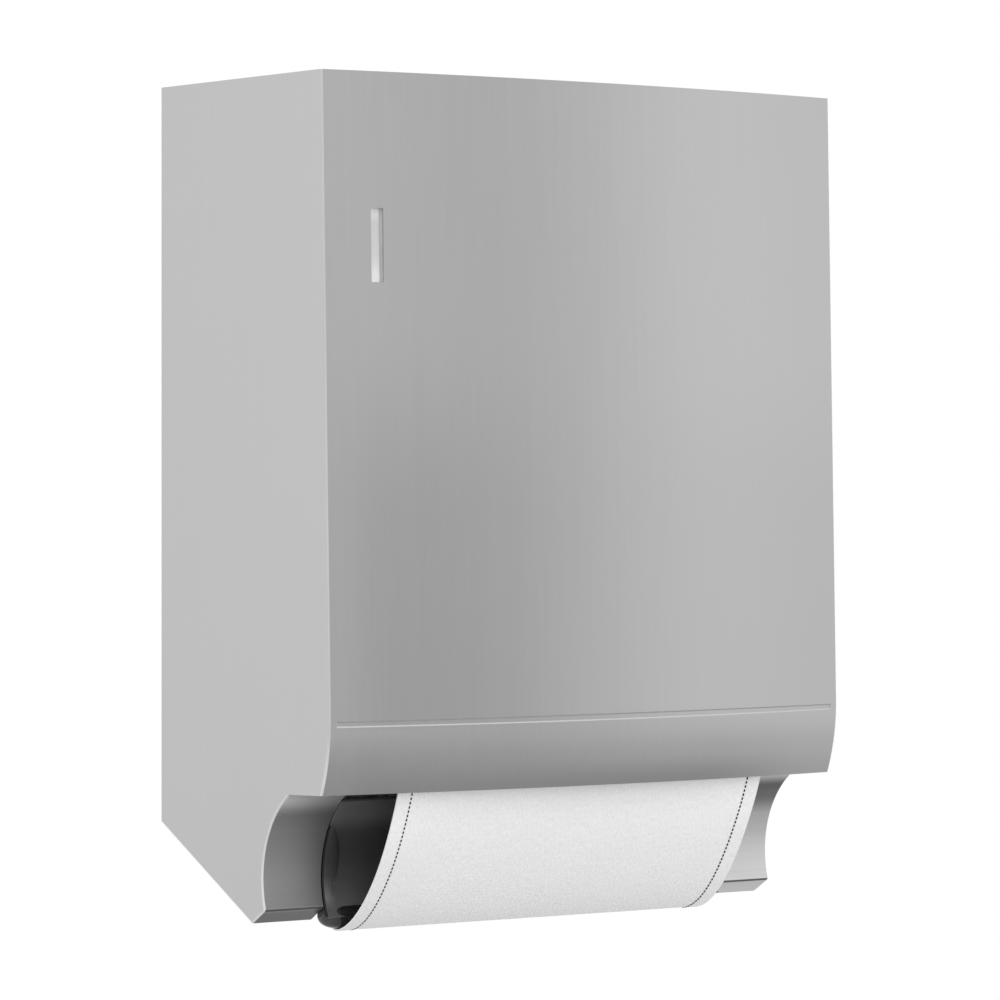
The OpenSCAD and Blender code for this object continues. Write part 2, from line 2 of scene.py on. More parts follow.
# # A wall-hung cloth towel dispenser
# The imported solids are the frame of this lesson. They already have the right size and place, so they are loaded
# first, and every new piece is made in the same frame: x to the right, y toward the wall, z up, in metres.

# %% Load the frame
import math
import bmesh
import bpy
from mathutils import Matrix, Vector


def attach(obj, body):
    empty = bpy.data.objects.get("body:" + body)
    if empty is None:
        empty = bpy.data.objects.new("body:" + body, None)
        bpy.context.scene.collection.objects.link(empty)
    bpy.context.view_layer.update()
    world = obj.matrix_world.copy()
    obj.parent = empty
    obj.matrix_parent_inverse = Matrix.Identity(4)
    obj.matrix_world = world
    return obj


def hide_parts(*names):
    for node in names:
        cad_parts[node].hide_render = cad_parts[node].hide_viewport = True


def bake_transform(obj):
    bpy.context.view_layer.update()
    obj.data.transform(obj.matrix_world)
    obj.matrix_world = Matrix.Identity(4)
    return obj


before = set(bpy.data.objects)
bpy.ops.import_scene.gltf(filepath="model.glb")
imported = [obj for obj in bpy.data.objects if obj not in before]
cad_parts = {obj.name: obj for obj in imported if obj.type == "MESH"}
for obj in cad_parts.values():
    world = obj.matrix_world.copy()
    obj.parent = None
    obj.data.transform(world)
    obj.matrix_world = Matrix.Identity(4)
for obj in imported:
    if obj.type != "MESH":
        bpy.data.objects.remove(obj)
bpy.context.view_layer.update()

MM = 0.001


# %% [markdown]
# ## Camera
# A product photo is taken from far away with a long lens, so that upright edges stay almost parallel. The camera
# stands to the left of the object, at the height of its middle, and looks level. The small shift moves the picture
# up without tilting the camera, as the slide of a view camera does.

# %% Camera
scene = bpy.context.scene
camera_data = bpy.data.cameras.new("photo_camera")
camera_data.lens = 175.43
camera_data.sensor_width = 36.0
camera_data.shift_y = -0.03105
camera_data.clip_end = 60.0
camera = bpy.data.objects.new("photo_camera", camera_data)
scene.collection.objects.link(camera)
camera.location = (-1.6218, -2.2970, -0.00685)
camera.rotation_euler = (math.radians(90), 0, math.radians(-36.19))
scene.camera = camera
print("camera at", tuple(camera.location))


# %% [markdown]
# ## Floor, background and light
# The dispenser hangs on a wall, so the floor lies about a metre below it and only catches a soft shadow. What the
# steel sees of the floor is painted light, graded toward the right and the rear like a paper sweep lit from one side.
# The background is plain white and lights everything evenly. Large soft lamps do the rest, because steel shows the
# lamps themselves: a small lamp would be a hard white spot in it, and a large one is a calm gradient.

# %% World
scene.view_settings.view_transform = "Standard"
world = bpy.data.worlds.new("white_studio")
scene.world = world
world.use_nodes = True
backdrop = world.node_tree.nodes["Background"]
backdrop.inputs["Color"].default_value = (1, 1, 1, 1)
backdrop.inputs["Strength"].default_value = 1.0
print("world ready")


# %% Helpers for the first nodes
def feed(tree, socket, value):
    """Link another node's output to a socket, or set a value on it."""
    if isinstance(value, bpy.types.NodeSocket):
        tree.links.new(value, socket)
    else:
        socket.default_value = value


def add_node(tree, kind, **values):
    """Add a shader node; each value goes to the socket of that name."""
    node = tree.nodes.new("ShaderNode" + kind)
    for name, value in values.items():
        feed(tree, node.inputs[name.replace("_", " ")], value)
    return node


def math_node(tree, how, first, second=0, kind="Math"):
    node = add_node(tree, kind)
    node.operation = how
    for socket, value in zip(node.inputs, (first, second)):
        feed(tree, socket, value)
    return node.outputs[0]


def axis_of(tree, place, axis):
    return add_node(tree, "SeparateXYZ", Vector=place).outputs[axis]


def map_range(tree, value, low, high, to_low=0.0, to_high=1.0):
    """A value that goes from to_low to to_high while the given one goes from low to high."""
    node = add_node(tree, "MapRange", Value=value, From_Min=low, From_Max=high, To_Min=to_low, To_Max=to_high)
    return node.outputs["Result"]


def between(tree, share, first, second):
    """A mix of two colours or factors; a number stands for a grey."""
    mix = add_node(tree, "Mix")
    mix.data_type = "RGBA"
    for name, value in (("Factor", share), ("A", first), ("B", second)):
        feed(tree, mix.inputs[name], (value, value, value, 1) if isinstance(value, (int, float)) else value)
    return mix.outputs["Result"]


print("first node helpers ready")


# %% Floor
def clear_selection():
    if bpy.context.mode != "OBJECT":
        bpy.ops.object.mode_set(mode="OBJECT")
    bpy.ops.object.select_all(action="DESELECT")


def add_shape(name, add, **settings):
    """Add a primitive with nothing else selected, and name it."""
    clear_selection()
    add(**settings)
    obj = bpy.context.object
    obj.name = name
    return obj


FLOOR_Z, FLOOR_R = -0.95, 5.0
FLOOR_SEEN, PAINTED_FLOOR_DARK, PAINTED_FLOOR_LIGHT = 0.78, 0.395, 0.85
PAINTED_FLOOR_GRADES = (("X", 0.1, 1.7), ("Y", -0.2, 0.8))
floor = add_shape("floor", bpy.ops.mesh.primitive_circle_add, vertices=96, radius=FLOOR_R, fill_type="NGON",
                  location=(0, 0, FLOOR_Z))
floor_paint = bpy.data.materials.new("pale_floor")
floor_paint.use_nodes = True
tree = floor_paint.node_tree
tree.nodes.clear()
floor_place = add_node(tree, "TexCoord").outputs["Object"]
# For all but the camera, the floor's tone is painted light: graded along x and y, darker to the left and front.
graded = [map_range(tree, axis_of(tree, floor_place, axis), near, far, PAINTED_FLOOR_DARK, PAINTED_FLOOR_LIGHT)
          for axis, near, far in PAINTED_FLOOR_GRADES]
by_camera = add_node(tree, "LightPath").outputs["Is Camera Ray"]
seen = between(tree, by_camera, math_node(tree, "MAXIMUM", *graded), FLOOR_SEEN)
matt = add_node(tree, "BsdfDiffuse", Color=seen)
add_node(tree, "OutputMaterial", Surface=matt.outputs[0])
floor.data.materials.append(floor_paint)
print("floor at", FLOOR_Z)


# %% Lamps
def soft_lamp(name, place, aim, width, height, power):
    lamp_data = bpy.data.lights.new(name, "AREA")
    lamp_data.shape = "RECTANGLE"
    lamp_data.size = width
    lamp_data.size_y = height
    lamp_data.energy = power
    lamp = bpy.data.objects.new(name, lamp_data)
    scene.collection.objects.link(lamp)
    lamp.location = place
    lamp.rotation_euler = (Vector(aim) - Vector(place)).to_track_quat("-Z", "Y").to_euler()
    lamp.visible_camera = False


OBJECT_MIDDLE = (0, -0.1, -0.1)
soft_lamp("front_right_lamp", (3.2, -2.3, -0.1), OBJECT_MIDDLE, width=1.6, height=3.4, power=6.0)
soft_lamp("rear_left_lamp", (-2.6, 2.4, 0.1), OBJECT_MIDDLE, width=2.2, height=3.0, power=9.5)
soft_lamp("top_lamp", (-0.4, -1.2, 2.8), (0, -0.1, 0), width=4.4, height=4.0, power=38)
soft_lamp("front_left_lamp", (-2.2, -3.2, 0.4), OBJECT_MIDDLE, width=3.4, height=2.7, power=33)


# %% [markdown]
# ## Tools for working in edit mode
# Most pieces below start as a primitive or a single drawn line, and are then extruded, spun and bevelled. In a script
# the selection is made by place instead of by mouse: pick takes a test and selects what passes it.

# %% Selecting by place
def activate(obj):
    clear_selection()
    bpy.context.view_layer.objects.active = obj
    obj.select_set(True)


def edit(obj):
    activate(obj)
    bpy.ops.object.mode_set(mode="EDIT")


def leave_edit():
    bpy.ops.object.mode_set(mode="OBJECT")


def take_all():
    bpy.ops.mesh.select_all(action="SELECT")


def pick(obj, kind, test):
    """Select the vertices, edges or faces that pass a test, and count them."""
    bpy.ops.mesh.select_mode(type=kind)
    bpy.ops.mesh.select_all(action="DESELECT")
    shape = bmesh.from_edit_mesh(obj.data)
    parts = {"VERT": shape.verts, "EDGE": shape.edges, "FACE": shape.faces}[kind]
    found = 0
    for part in parts:
        if test(part):
            part.select_set(True)
            found += 1
    shape.select_flush_mode()
    bmesh.update_edit_mesh(obj.data)
    return found


def middle(part):
    return sum((v.co for v in part.verts), Vector()) / len(part.verts)


def cut_at(place, normal, keep="both"):
    """Bisect the selection with a plane and keep one side of it, or both."""
    bpy.ops.mesh.bisect(plane_co=tuple(place), plane_no=tuple(normal), threshold=0.001 * MM,
                        clear_inner=keep == "ahead", clear_outer=keep == "behind")


def push_out(step):
    bpy.ops.mesh.extrude_region_move(TRANSFORM_OT_translate={"value": tuple(step)})


def draw_line(name, points):
    """One vertex, extruded from point to point, as a profile is drawn by hand."""
    line = add_shape(name, bpy.ops.mesh.primitive_plane_add, size=MM, location=(0, 0, 0))
    bpy.ops.object.mode_set(mode="EDIT")
    bpy.ops.mesh.select_mode(type="VERT")
    take_all()
    bpy.ops.mesh.merge(type="CENTER")
    bpy.ops.transform.translate(value=tuple(points[0]))
    for before, after in zip(points, points[1:]):
        push_out(Vector(after) - Vector(before))
    return line


def finish_modifier(obj, kind, **settings):
    """Add a modifier and apply it at once."""
    activate(obj)
    modifier = obj.modifiers.new(kind.lower(), kind)
    for key, value in settings.items():
        setattr(modifier, key, value)
    bpy.ops.object.modifier_apply(modifier=modifier.name)


def smooth_shade(obj, angle):
    activate(obj)
    bpy.ops.object.shade_smooth_by_angle(angle=math.radians(angle))


print("helpers ready")


# %% [markdown]
# ## The side view in numbers
# The hood, the trough and the towel all share one side view, so its points are worked out once, in the frame of the
# solids: y is zero at the wall, and the hood's top is TOP_Z. The front is a slice of a large upright cylinder that
# leans forward a little and rolls under at the bottom. The cut-out is a circle.

# %% Side view
HALF_W, TOP_Z, DEPTH = 175 * MM, 205 * MM, 159 * MM
LEAN = math.radians(1.26)
BOW = 13 * MM
BOW_R = (HALF_W ** 2 + BOW ** 2) / (2 * BOW)
ROLL_R = 107 * MM
ROLL_LEN = 343 * MM / math.cos(LEAN)
FOOT_Z = -180.1 * MM
REAR_Y = -1.0 * MM
BAND_IN = 137 * MM
SHEET_T = 1.2 * MM
RECESS = Vector((0, -158 * MM, -228 * MM))
RECESS_R = 55.3 * MM
SHELF_Z = FOOT_Z - 0.9 * MM
ARC_HI = math.asin((SHELF_Z - RECESS.z) / RECESS_R)
ARC_LO = math.radians(-17.8)


def on_circle(centre, radius, turn):
    return centre + radius * Vector((0, math.cos(turn), math.sin(turn)))


def in_mm(length, digits=1):
    return round(length / MM, digits)


arc_start = on_circle(RECESS, RECESS_R, ARC_HI)
arc_end = on_circle(RECESS, RECESS_R, ARC_LO)
NOSE_STEP = Vector((0, 12.9 * MM, -7.9 * MM))
nose = arc_end + NOSE_STEP
sole_end = Vector((0, REAR_Y, TOP_Z - 408.3 * MM))
lip = arc_end + Vector((0, 5.4 * MM, -5.1 * MM))
print("cut-out from", [in_mm(v) for v in arc_start], "to", [in_mm(v) for v in arc_end])


# %% [markdown]
# ## Hood
# The real hood is folded and welded from brushed sheet, ground smooth so that no seam shows. One skin shows that
# best. The plan of the front is a slice of a circle: it is extruded down the front and spun about the roll-under's
# axis. The flanges beside the trough follow by more extruding and spinning, the flat side is filled in, and a mirror
# makes the other half. Bevels, the groove and the window come next. Solidify then gives the sheet its thickness, and
# a cylinder cuts the hole of the lock.

# %% Hood: front and roll-under
PLAN_SIDES, SPARE, ROLL_SWEEP = 720, 2 * MM, math.radians(29)
hood = add_shape("hood_shell", bpy.ops.mesh.primitive_circle_add, vertices=PLAN_SIDES, radius=BOW_R,
                 location=(0, BOW_R - BOW, SPARE))
bpy.ops.object.transform_apply(location=True, rotation=True, scale=True)
edit(hood)
for place, normal, keep in (((0, BOW_R / 2, 0), (0, 1, 0), "behind"), ((0, 0, 0), (1, 0, 0), "behind"),
                            ((-HALF_W, 0, 0), (1, 0, 0), "ahead"), ((-BAND_IN, 0, 0), (1, 0, 0), "both")):
    take_all()
    cut_at(place, normal, keep)
take_all()
push_out((0, 0, -ROLL_LEN - SPARE))
GROOVE_DROP, GROOVE_W = 4.2 * MM, 3.2 * MM
GROOVE_MID, GROOVE_SWEEP = math.asin(GROOVE_DROP / ROLL_R), GROOVE_W / ROLL_R
roll_axis = (0, ROLL_R, -ROLL_LEN)
for steps, angle in ((2, GROOVE_MID - GROOVE_SWEEP / 2), (1, GROOVE_SWEEP), (20, ROLL_SWEEP)):
    bpy.ops.mesh.spin(steps=steps, angle=-angle, center=roll_axis, axis=(1, 0, 0))
leave_edit()
hood.rotation_euler = (-LEAN, 0, 0)
hood.location = (0, -DEPTH, TOP_Z)
bpy.ops.object.transform_apply(location=True, rotation=True, scale=True)
low = min(v.co.z for v in hood.data.vertices)
print("front half with", len(hood.data.polygons), "faces, lowest point at", in_mm(low), "mm")

# %% Hood: trim, flanges and top
edit(hood)
for height, keep in ((TOP_Z, "behind"), (FOOT_Z, "ahead")):
    take_all()
    cut_at((0, 0, height), (0, 0, 1), keep)
TINY = 0.02 * MM
rim = pick(hood, "EDGE",
           lambda e: all(abs(v.co.z - FOOT_Z) < TINY and v.co.x < -BAND_IN + TINY for v in e.verts))
push_out((0, 0, 0))
bpy.ops.transform.resize(value=(1, 0, 0), center_override=tuple(arc_start))
bpy.ops.mesh.spin(steps=40, angle=ARC_HI - ARC_LO, center=tuple(RECESS), axis=(1, 0, 0))
push_out(NOSE_STEP)
push_out(sole_end - nose)
top_rim = pick(hood, "EDGE", lambda e: all(abs(v.co.z - TOP_Z) < TINY for v in e.verts))
push_out((0, 0, 0))
bpy.ops.transform.resize(value=(1, 0, 1), center_override=(0, REAR_Y, TOP_Z))
pick(hood, "VERT", lambda v: abs(v.co.x + HALF_W) < TINY and abs(v.co.y - REAR_Y) < TINY)
bpy.ops.mesh.edge_face_add()
pick(hood, "VERT", lambda v: abs(v.co.x + HALF_W) < TINY)
bpy.ops.mesh.edge_face_add()
leave_edit()
print("rim edges", rim, "top edges", top_rim, "faces", len(hood.data.polygons))

# %% Hood: mirror and outward faces
finish_modifier(hood, "MIRROR", use_axis=(True, False, False), use_mirror_merge=True, merge_threshold=TINY)
edit(hood)
take_all()
bpy.ops.mesh.remove_doubles(threshold=TINY)
bpy.ops.mesh.normals_make_consistent(inside=False)
shape = bmesh.from_edit_mesh(hood.data)
front_face = min(shape.faces, key=lambda f: f.calc_center_median().y)
if front_face.normal.y > 0:
    bpy.ops.mesh.flip_normals()
leave_edit()
print("hood skin", len(hood.data.polygons), "faces, box", [in_mm(v) for v in hood.dimensions])

# %% Hood: rounded edges
for slot_name in ("skin", "edge"):
    hood.data.materials.append(bpy.data.materials.new(slot_name))
SHARP = math.radians(38)
IN_FRONT = -140 * MM


def is_sharp(edge):
    return len(edge.link_faces) == 2 and edge.calc_face_angle(0) > SHARP


def on_rim(edge):
    spot = middle(edge)
    return spot.y < IN_FRONT and abs(spot.z - FOOT_Z) < 0.6 * MM or spot.z > TOP_Z - TINY


def on_corner(edge):
    spot = middle(edge)
    upright = FOOT_Z + TINY < spot.z < TOP_Z - TINY
    return is_sharp(edge) and upright and spot.y < IN_FRONT and abs(spot.x) > HALF_W - TINY


edit(hood)
CORNER_R, FOLD_R, RIM_R = 1.05 * MM, 1.1 * MM, 0.35 * MM
for radius, segments, wanted in ((CORNER_R, 6, on_corner), (FOLD_R, 4, lambda e: is_sharp(e) and not on_rim(e)),
                                 (RIM_R, 2, lambda e: is_sharp(e) and on_rim(e))):
    chosen = pick(hood, "EDGE", wanted)
    bpy.ops.mesh.bevel(offset=radius, segments=segments, profile=0.5, affect="EDGES", material=1,
                       clamp_overlap=radius == RIM_R)
    print("rounded", chosen, "edges to", in_mm(radius, 2), "mm")
leave_edit()

# %% Hood: groove
ROLL_C = Vector((0, -DEPTH + ROLL_R * math.cos(LEAN) - ROLL_LEN * math.sin(LEAN),
                 TOP_Z - ROLL_R * math.sin(LEAN) - ROLL_LEN * math.cos(LEAN)))
GROOVE_HALF = HALF_W - 4.5 * MM
GROOVE_WALL, GROOVE_DEPTH = 0.7 * MM, 0.85 * MM


def in_groove(face):
    spot = middle(face) - ROLL_C
    turn = math.atan2(-spot.z, -spot.y) + LEAN
    return abs(turn - GROOVE_MID) < 0.45 * GROOVE_SWEEP and spot.length > 0.9 * ROLL_R


edit(hood)
for x in (-GROOVE_HALF, GROOVE_HALF):
    pick(hood, "FACE", in_groove)
    cut_at((x, 0, 0), (1, 0, 0))
row = pick(hood, "FACE", lambda f: in_groove(f) and abs(middle(f).x) < GROOVE_HALF)
bpy.ops.mesh.inset(thickness=GROOVE_WALL, depth=-GROOVE_DEPTH, use_boundary=True, use_even_offset=True)
leave_edit()
print("groove made from", row, "faces")

# %% Hood: window slot
WINDOW_L, WINDOW_R = -HALF_W + 28.2 * MM, -HALF_W + 35.6 * MM
WINDOW_HI, WINDOW_LO = TOP_Z - 73 * MM, TOP_Z - 112.5 * MM


def upright_front(face):
    spot = middle(face)
    return face.normal.y < -0.9 and spot.z > -100 * MM and spot.y < -DEPTH


def spans(face, x):
    return min(v.co.x for v in face.verts) < x < max(v.co.x for v in face.verts)


def window_column(face):
    return upright_front(face) and WINDOW_L < middle(face).x < WINDOW_R


edit(hood)
for x in (WINDOW_L, WINDOW_R):
    pick(hood, "FACE", lambda f: upright_front(f) and spans(f, x))
    cut_at((x, 0, 0), (1, 0, 0))
for z in (WINDOW_HI, WINDOW_LO):
    pick(hood, "FACE", window_column)
    cut_at((0, 0, z), (0, 0, 1))
gone = pick(hood, "FACE", lambda f: window_column(f) and WINDOW_LO < middle(f).z < WINDOW_HI)
bpy.ops.mesh.delete(type="FACE")
leave_edit()
print("window cut from", gone, "faces")

# %% Hood: sheet thickness, lock hole and shading
finish_modifier(hood, "SOLIDIFY", thickness=SHEET_T, offset=-1.0, use_even_offset=True, use_quality_normals=True)
LOCK_PLACE, LOCK_HOLE_R = (HALF_W, -35 * MM, -83.5 * MM), 8.05 * MM
cutter = add_shape("lock_cutter", bpy.ops.mesh.primitive_cylinder_add, vertices=64, radius=LOCK_HOLE_R,
                   depth=8 * MM, location=LOCK_PLACE, rotation=(0, math.radians(90), 0))
finish_modifier(hood, "BOOLEAN", object=cutter, operation="DIFFERENCE", solver="EXACT")
bpy.data.objects.remove(cutter)
smooth_shade(hood, 40)
finish_modifier(hood, "WEIGHTED_NORMAL", keep_sharp=True, weight=100)
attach(hood, "hood")
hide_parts("front_panel", "left_side", "right_side", "top_panel", "left_band", "right_band", "left_sole",
            "right_sole")
print("hood shell", len(hood.data.polygons), "faces")


# %% [markdown]
# ## Trough and lip
# The trough is a moulded basin of smoky plastic. Along its ends it lies flush with the steel bands, then it rolls
# over into a deeper floor and leaves a sharp valley, which is what gives the light and dark streaks beside the towel.
# A straight line across is spun about the axis of the cut-out, and the floor is then pushed down, as with
# proportional editing: deepest near the middle, nothing at the upper edge and at the lip.
# The lip below is turned like a bobbin: one drawn half-profile, spun a full turn.

# %% Trough
TROUGH_HALF, RIM = 136 * MM, 1.0 * MM
TROUGH_TOP, TROUGH_END = math.radians(48), math.radians(-24)
FLOOR_DEEP, ROUND_MIN, ROUND_MORE = 4.4 * MM, 1.2 * MM, 11.0 * MM
ROUND_POWER, ROUND_LATE = 0.8, 6 * MM
SWELL_FROM, SWELL_PEAK = 0.25, 0.56
STEEP = 0.97
FINE_STEP, FINE_STEPS = 0.4 * MM, 40


def clamp(value):
    return min(1, max(0, value))


def floor_dip(x, turn):
    """How far the basin's floor lies below the flush rim at one place."""
    down = clamp((TROUGH_TOP - turn) / (TROUGH_TOP - ARC_LO))
    if down < SWELL_PEAK:
        rise = clamp((down - SWELL_FROM) / (SWELL_PEAK - SWELL_FROM))
        swell = rise * rise * (3 - 2 * rise)
    else:
        swell = 0.5 + 0.5 * math.cos(math.pi * (down - SWELL_PEAK) / (1 - SWELL_PEAK))
    rounding = ROUND_MIN + ROUND_MORE * swell ** ROUND_POWER + ROUND_LATE * max(0, down - SWELL_PEAK)
    share = clamp((TROUGH_HALF - RIM - abs(x)) / rounding)
    over = (1 - math.sqrt(1 - (STEEP * share) ** 2)) / (1 - math.sqrt(1 - STEEP ** 2))
    return FLOOR_DEEP * swell * over


half_x = [TROUGH_HALF - FINE_STEP * k for k in range(FINE_STEPS)] + [x * MM for x in (118, 110, 90, 60, 30, 0)]
trough_x = [-x for x in half_x] + half_x[-2::-1]
upper_edge = on_circle(RECESS, RECESS_R, TROUGH_TOP)
trough = draw_line("trough_basin", [upper_edge + Vector((x, 0, 0)) for x in trough_x])
take_all()
bpy.ops.mesh.spin(steps=72, angle=TROUGH_TOP - TROUGH_END, center=tuple(RECESS), axis=(1, 0, 0))
take_all()
bpy.ops.mesh.normals_make_consistent(inside=False)
shape = bmesh.from_edit_mesh(trough.data)
shape.faces.ensure_lookup_table()
sample = shape.faces[len(shape.faces) // 2]
if (sample.calc_center_median() - RECESS).dot(sample.normal) > 0:
    bpy.ops.mesh.flip_normals()
leave_edit()
for vertex in trough.data.vertices:
    arm = vertex.co - RECESS
    x, arm.x = arm.x, 0
    vertex.co += arm.normalized() * floor_dip(x, math.atan2(arm.z, arm.y))
finish_modifier(trough, "SOLIDIFY", thickness=2.0 * MM, offset=-1.0, use_even_offset=False)
finish_modifier(trough, "BEVEL", width=0.3 * MM, segments=2, limit_method="ANGLE", angle_limit=math.radians(75))
smooth_shade(trough, 38)
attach(trough, "chassis")
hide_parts("towel_trough")
print("trough", len(trough.data.polygons), "faces")

# %% Lip bar
LIP_R, LIP_HALF, LIP_STRAIGHT, LIP_NOSE = 7.5 * MM, 136 * MM, 121 * MM, 15.3 * MM
FULLNESS, END_STEPS, CLOSER_OUT = 2.4, 23, 1.6
half_profile = [(LIP_HALF, 0.0)]
for k in range(END_STEPS + 1):
    x = LIP_HALF - (LIP_HALF - LIP_STRAIGHT) * (k / END_STEPS) ** CLOSER_OUT
    half_profile.append((x, LIP_R * (1 - ((x - LIP_STRAIGHT) / LIP_NOSE) ** FULLNESS) ** (1 / FULLNESS)))
profile = [(-x, r) for x, r in half_profile] + [(x, r) for x, r in reversed(half_profile)]
lip_bar = draw_line("lip_roll", [lip + Vector((x, r, 0)) for x, r in profile])
take_all()
bpy.ops.mesh.spin(steps=96, angle=2 * math.pi, center=tuple(lip), axis=(1, 0, 0))
take_all()
bpy.ops.mesh.remove_doubles(threshold=0.005 * MM)
bpy.ops.mesh.normals_make_consistent(inside=False)
leave_edit()
smooth_shade(lip_bar, 50)
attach(lip_bar, "chassis")
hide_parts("lip_bar")
print("lip bar", len(lip_bar.data.polygons), "faces")


# %% [markdown]
# ## Towel
# The towel is one endless-looking web of cotton, 250 mm wide, with two dashed seams. It leaves the clean roll, runs
# behind the feed roller and over the exit rod, hangs out as a loop, and goes back in round the lip to the soiled
# roll. Its side view is a chain of arcs and tangents, and the free loop is one Bezier curve. A grid is laid along
# that line, closer at the hems, so that hem and seam are real shapes. Its UV map carries the weave later.

# %% Towel path
def turned(go):
    return Vector((0, math.cos(go), math.sin(go)))


def across(go):
    return Vector((0, -math.sin(go), math.cos(go)))


def belt(c1, r1, turn1, c2, r2, turn2):
    """Heading of a belt that leaves wheel 1 for wheel 2; a turn is 1 anticlockwise and -1 clockwise."""
    run = c2 - c1
    return math.atan2(run.z, run.y) - math.asin((turn2 * r2 - turn1 * r1) / run.length)


def wrap(centre, radius, first, last, count):
    return [on_circle(centre, radius, first + (last - first) * k / count) for k in range(count + 1)]


CLOTH_T = 0.8 * MM
CLEAN, CLEAN_R = Vector((0, -82 * MM, 117 * MM)), 66 * MM
FEED = Vector((0, -145.7 * MM, -125 * MM))
EXIT = Vector((0, -155.6 * MM, -168.5 * MM))
SOILED, SOILED_R = Vector((0, -74 * MM, -47 * MM)), 34 * MM
CLEAN_WRAP, FEED_WRAP, EXIT_WRAP = 66.7 * MM, 15.7 * MM, 6.45 * MM
LIP_WRAP, SOILED_WRAP = 8.2 * MM, 34.7 * MM
EXIT_GO, LIP_IN = math.radians(-72), math.radians(258)
QUARTER = math.pi / 2
go_1 = belt(CLEAN, CLEAN_WRAP, 1, FEED, FEED_WRAP, -1)
go_2 = belt(FEED, FEED_WRAP, -1, EXIT, EXIT_WRAP, 1)
go_3 = belt(lip, LIP_WRAP, 1, SOILED, SOILED_WRAP, 1)
STRAIGHT_OUT, EXIT_HANDLE, LIP_HANDLE = 11 * MM, 22 * MM, 28 * MM
exit_point = EXIT - EXIT_WRAP * across(EXIT_GO) + STRAIGHT_OUT * turned(EXIT_GO)
lip_point = on_circle(lip, LIP_WRAP, LIP_IN)
b0, b1 = exit_point, exit_point + EXIT_HANDLE * turned(EXIT_GO)
b3, b2 = lip_point, lip_point - LIP_HANDLE * across(LIP_IN)
feed_line = [CLEAN - CLEAN_WRAP * across(go_1)] + wrap(FEED, FEED_WRAP, go_1 + QUARTER, go_2 + QUARTER, 16)
exit_line = wrap(EXIT, EXIT_WRAP, go_2 - QUARTER, EXIT_GO - QUARTER, 14)
loop_line = [(1 - t) ** 3 * b0 + 3 * (1 - t) ** 2 * t * b1 + 3 * (1 - t) * t * t * b2 + t ** 3 * b3
             for t in (k / 60 for k in range(61))]
back_line = wrap(lip, LIP_WRAP, LIP_IN, go_3 + 3 * QUARTER, 20)[1:] + [SOILED - SOILED_WRAP * across(go_3)]
towel_line = feed_line + exit_line + loop_line + back_line
reach = [0.0]
for a, b in zip(towel_line, towel_line[1:]):
    reach.append(reach[-1] + (b - a).length)
TOWEL_L = reach[-1]
LOOP_FROM = reach[len(feed_line) + len(exit_line)]
LOOP_TO = reach[len(feed_line) + len(exit_line) + len(loop_line) - 1]
print("towel line", in_mm(TOWEL_L), "mm, loop from", in_mm(LOOP_FROM), "to", in_mm(LOOP_TO))


# %% Towel: a place on the line
def along_towel(s):
    """Point and outward normal of the towel's side view at the distance s."""
    s = min(max(s, 0), TOWEL_L - 1e-9)
    k = max(i for i in range(len(reach) - 1) if reach[i] <= s)
    go = towel_line[k + 1] - towel_line[k]
    ahead = towel_line[min(k + 2, len(towel_line) - 1)] - towel_line[k + 1]
    behind = towel_line[k] - towel_line[max(k - 1, 0)]
    share = (s - reach[k]) / (reach[k + 1] - reach[k])
    point = towel_line[k] + share * go
    head = (go + (ahead if ahead.length > 0 else go)).normalized() * share
    head += (go + (behind if behind.length > 0 else go)).normalized() * (1 - share)
    head.normalize()
    return point, Vector((0, head.z, -head.y))


rows = []
for first, last, pitch in ((0, LOOP_FROM, 5 * MM), (LOOP_FROM, LOOP_TO, 0.7 * MM), (LOOP_TO, TOWEL_L, 2.5 * MM)):
    count = max(2, round((last - first) / pitch))
    rows += [first + (last - first) * k / count for k in range(count)]
rows.append(TOWEL_L)
print("towel rows", len(rows))

# %% Towel: the web
CLOTH_HALF, SEAM_X, STITCH_R = 125 * MM, 115.8 * MM, 0.5 * MM
hem_x = [125, 124.6, 123.5, 121, 118.5, 117, 116.4, 115.8, 115.2, 114.6, 113.4]
inner_x = [110 - 5.5 * k for k in range(40)]
columns = sorted([-x * MM for x in hem_x] + [x * MM for x in inner_x if x > -112] + [x * MM for x in hem_x])
towel = add_shape("towel_web", bpy.ops.mesh.primitive_grid_add, x_subdivisions=len(columns) - 1,
                  y_subdivisions=len(rows) - 1, size=1, calc_uvs=True)
line_at = [along_towel(s) for s in rows]
HEM_RISE, SEAM_PINCH, SEAM_W = 0.16 * MM, 0.30 * MM, 0.55 * MM
SWAY, RIPPLE = 0.45 * MM, 0.22 * MM


def cloth_rise(x, s):
    """How far the cloth stands off its line: fuller hems, a pinched seam, and a slow ripple where it hangs free."""
    off = abs(x) - SEAM_X
    rise = HEM_RISE if off > STITCH_R else 0.0
    rise -= SEAM_PINCH * math.exp(-(off / SEAM_W) ** 2)
    if LOOP_FROM < s < LOOP_TO:
        hang = math.sin(math.pi * (s - LOOP_FROM) / (LOOP_TO - LOOP_FROM))
        rise += hang * (SWAY * math.sin(38 * x + 1.1) * math.cos(20 * s) + RIPPLE * math.sin(91 * x + 55 * s))
    return rise


